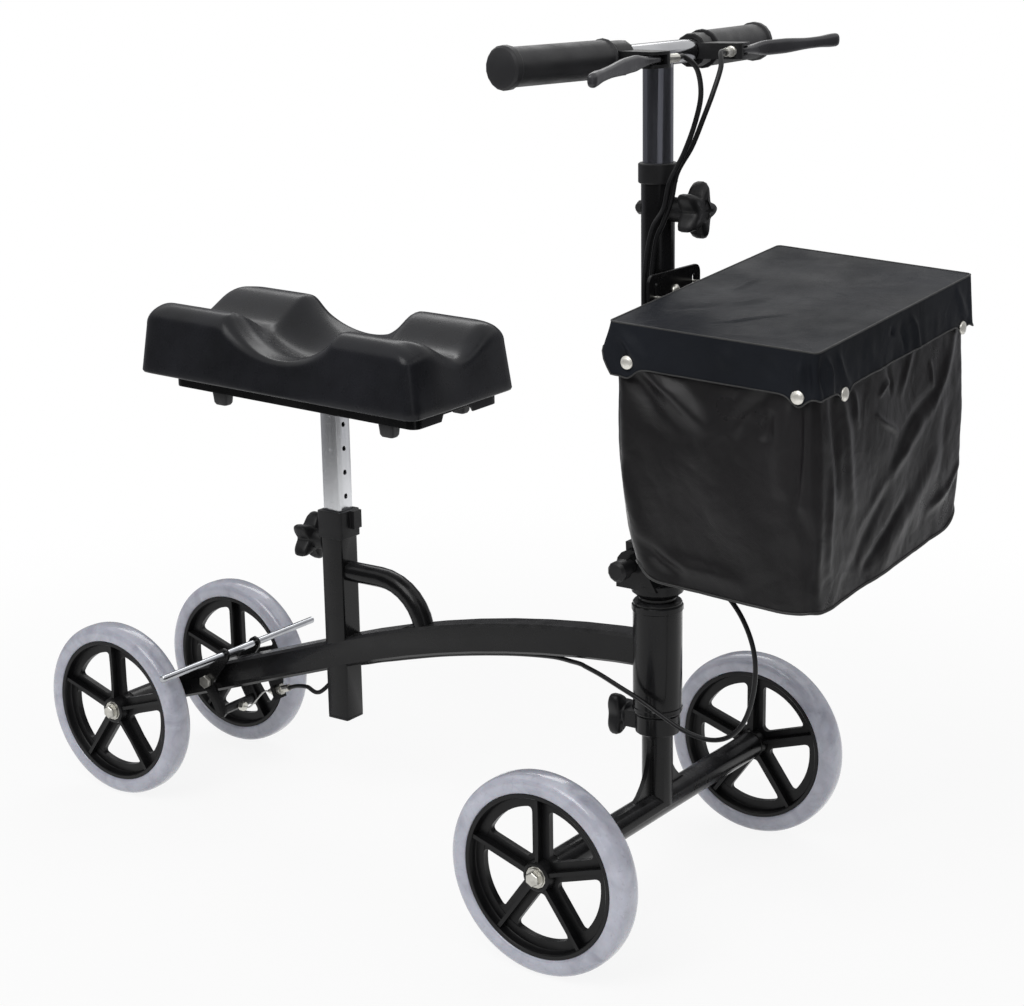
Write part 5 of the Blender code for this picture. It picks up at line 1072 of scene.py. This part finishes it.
def floor():
    """Pale floor that takes the shadow near the object and is plain white further away."""
    bpy.ops.mesh.primitive_plane_add(size=60, location=(0, 0, -0.0006))
    item = bpy.context.object
    item.name = "floor"
    finish = bpy.data.materials.new("floor_finish")
    tree = bare_tree(finish)
    place = add(tree, "ShaderNodeTexCoord").outputs["Object"]
    reach = add(tree, "ShaderNodeVectorMath", {0: place}, operation="LENGTH").outputs["Value"]
    far = add(tree, "ShaderNodeMapRange", {
        "Value": reach, "From Min": 0.6, "From Max": 1.5, "To Min": 0.88},
        interpolation_type="SMOOTHSTEP").outputs[0]
    tone = mixed(tree, drift(tree, place, 3.0), (0.86, 0.86, 0.86), (0.9, 0.9, 0.9))
    matt = add(tree, "ShaderNodeBsdfDiffuse", {"Color": tone}).outputs[0]
    white = add(tree, "ShaderNodeEmission", {"Color": (1, 1, 1, 1)}).outputs[0]
    amount = maths(tree, "MULTIPLY", seen_rays(tree), far)
    both = add(tree, "ShaderNodeMixShader", {0: amount, 1: matt, 2: white}).outputs[0]
    add(tree, "ShaderNodeOutputMaterial", {"Surface": both})
    item.data.materials.append(finish)


FLAG_RADIUS, FLAG_BOTTOM, FLAG_TOP = 1.45, 0.01, 1.16

# Azimuth in degrees and brightness of the panels
FLAG_LEVELS = (
    (-160, 0.3), (-138, 0.08), (-110, 0.05), (-60, 0.06), (-44, 0.08), (-37, 0.75), (-32, 0.75), (-24, 0.08),
    (20, 0.06), (44, 0.1), (54, 0.5), (68, 0.5), (96, 0.16), (128, 0.08), (156, 0.3))


def flags():
    """Dark and pale panels round the set, seen only in reflections, that give plated parts their lines."""
    shape = bmesh.new()
    bmesh.ops.create_cone(
        shape, cap_ends=False, segments=96, radius1=FLAG_RADIUS, radius2=FLAG_RADIUS,
        depth=FLAG_TOP - FLAG_BOTTOM, matrix=Matrix.Translation((0, 0, (FLAG_TOP + FLAG_BOTTOM) / 2)))
    item = formed("flags", shape)
    finish = bpy.data.materials.new("flag_finish")
    tree = bare_tree(finish)
    place = add(tree, "ShaderNodeTexCoord").outputs["Object"]
    angle = maths(tree, "ARCTAN2", part_of(tree, place, 1), part_of(tree, place, 0))
    ramp = add(tree, "ShaderNodeValToRGB", {0: spread(tree, angle, 0, 1, -pi, pi)})
    stops = ramp.color_ramp.elements
    stops[0].color = stops[1].color = (0.35, 0.35, 0.38, 1)
    for azimuth, level in FLAG_LEVELS:
        stops.new((azimuth + 180) / 360).color = (level, level, level * 1.04, 1)
    glow = add(tree, "ShaderNodeEmission", {"Color": ramp.outputs[0]}).outputs[0]
    add(tree, "ShaderNodeOutputMaterial", {"Surface": glow})
    item.data.materials.append(finish)
    for rays in ("camera", "diffuse", "shadow", "transmission"):
        setattr(item, "visible_" + rays, False)


def light(name, size, power, place, aim):
    """A rectangular lamp, sized in metres, that points at a spot."""
    data = bpy.data.lights.new(name, "AREA")
    data.shape = "RECTANGLE"
    data.size, data.size_y = size
    data.energy = power
    item = placed(name, data)
    item.location = place
    item.rotation_euler = (Vector(aim) - Vector(place)).to_track_quat("-Z", "Y").to_euler()


def lights():
    """White surroundings, brighter to the eye than as a light, and three lamps."""
    world = bpy.data.worlds.new("studio")
    bpy.context.scene.world = world
    tree = bare_tree(world)
    strength = spread(tree, seen_rays(tree), 0.55, 1, 0, 1)
    glow = add(tree, "ShaderNodeBackground", {"Color": (1, 1, 1, 1), "Strength": strength}).outputs[0]
    add(tree, "ShaderNodeOutputWorld", {"Surface": glow})
    light("key", (1.8, 1.8), 38, (0.4, -2.2, 2.6), (0, 0, 0.4))
    light("fill", (1.2, 2.2), 2.5, (2.6, 0.8, 1.6), (0, 0, 0.5))
    light("back", (2.0, 0.8), 12, (-1.4, 2.0, 2.4), (0, 0, 0.4))


def camera():
    """Camera fitted to the photograph."""
    data = bpy.data.cameras.new("camera")
    data.sensor_fit = "HORIZONTAL"
    data.sensor_width = 36
    data.lens = 76.53
    data.clip_start = 0.05
    item = placed("camera", data)
    right = Vector((0.8141072327, 0.5804841510, -0.0163573881))
    up = Vector((-0.1367265240, 0.2189775055, 0.9661028464))
    ahead = Vector((-0.5643892905, 0.7842748259, -0.2576387512))
    turn = Matrix((right, up, -ahead)).transposed().to_4x4()
    item.matrix_world = Matrix.Translation((1.33158, -1.73993, 0.95908)) @ turn
    bpy.context.scene.camera = item


camera()
finish_nodes()
wheels()
knee_pad()
seat_tray()
seat_blocks()
bag()
bag_ring()
bracket()
lid_cloth = lid()
studs()
knobs()
levers()
cables()
floor()
flags()
lights()

bpy.context.scene.view_settings.view_transform = "Standard"
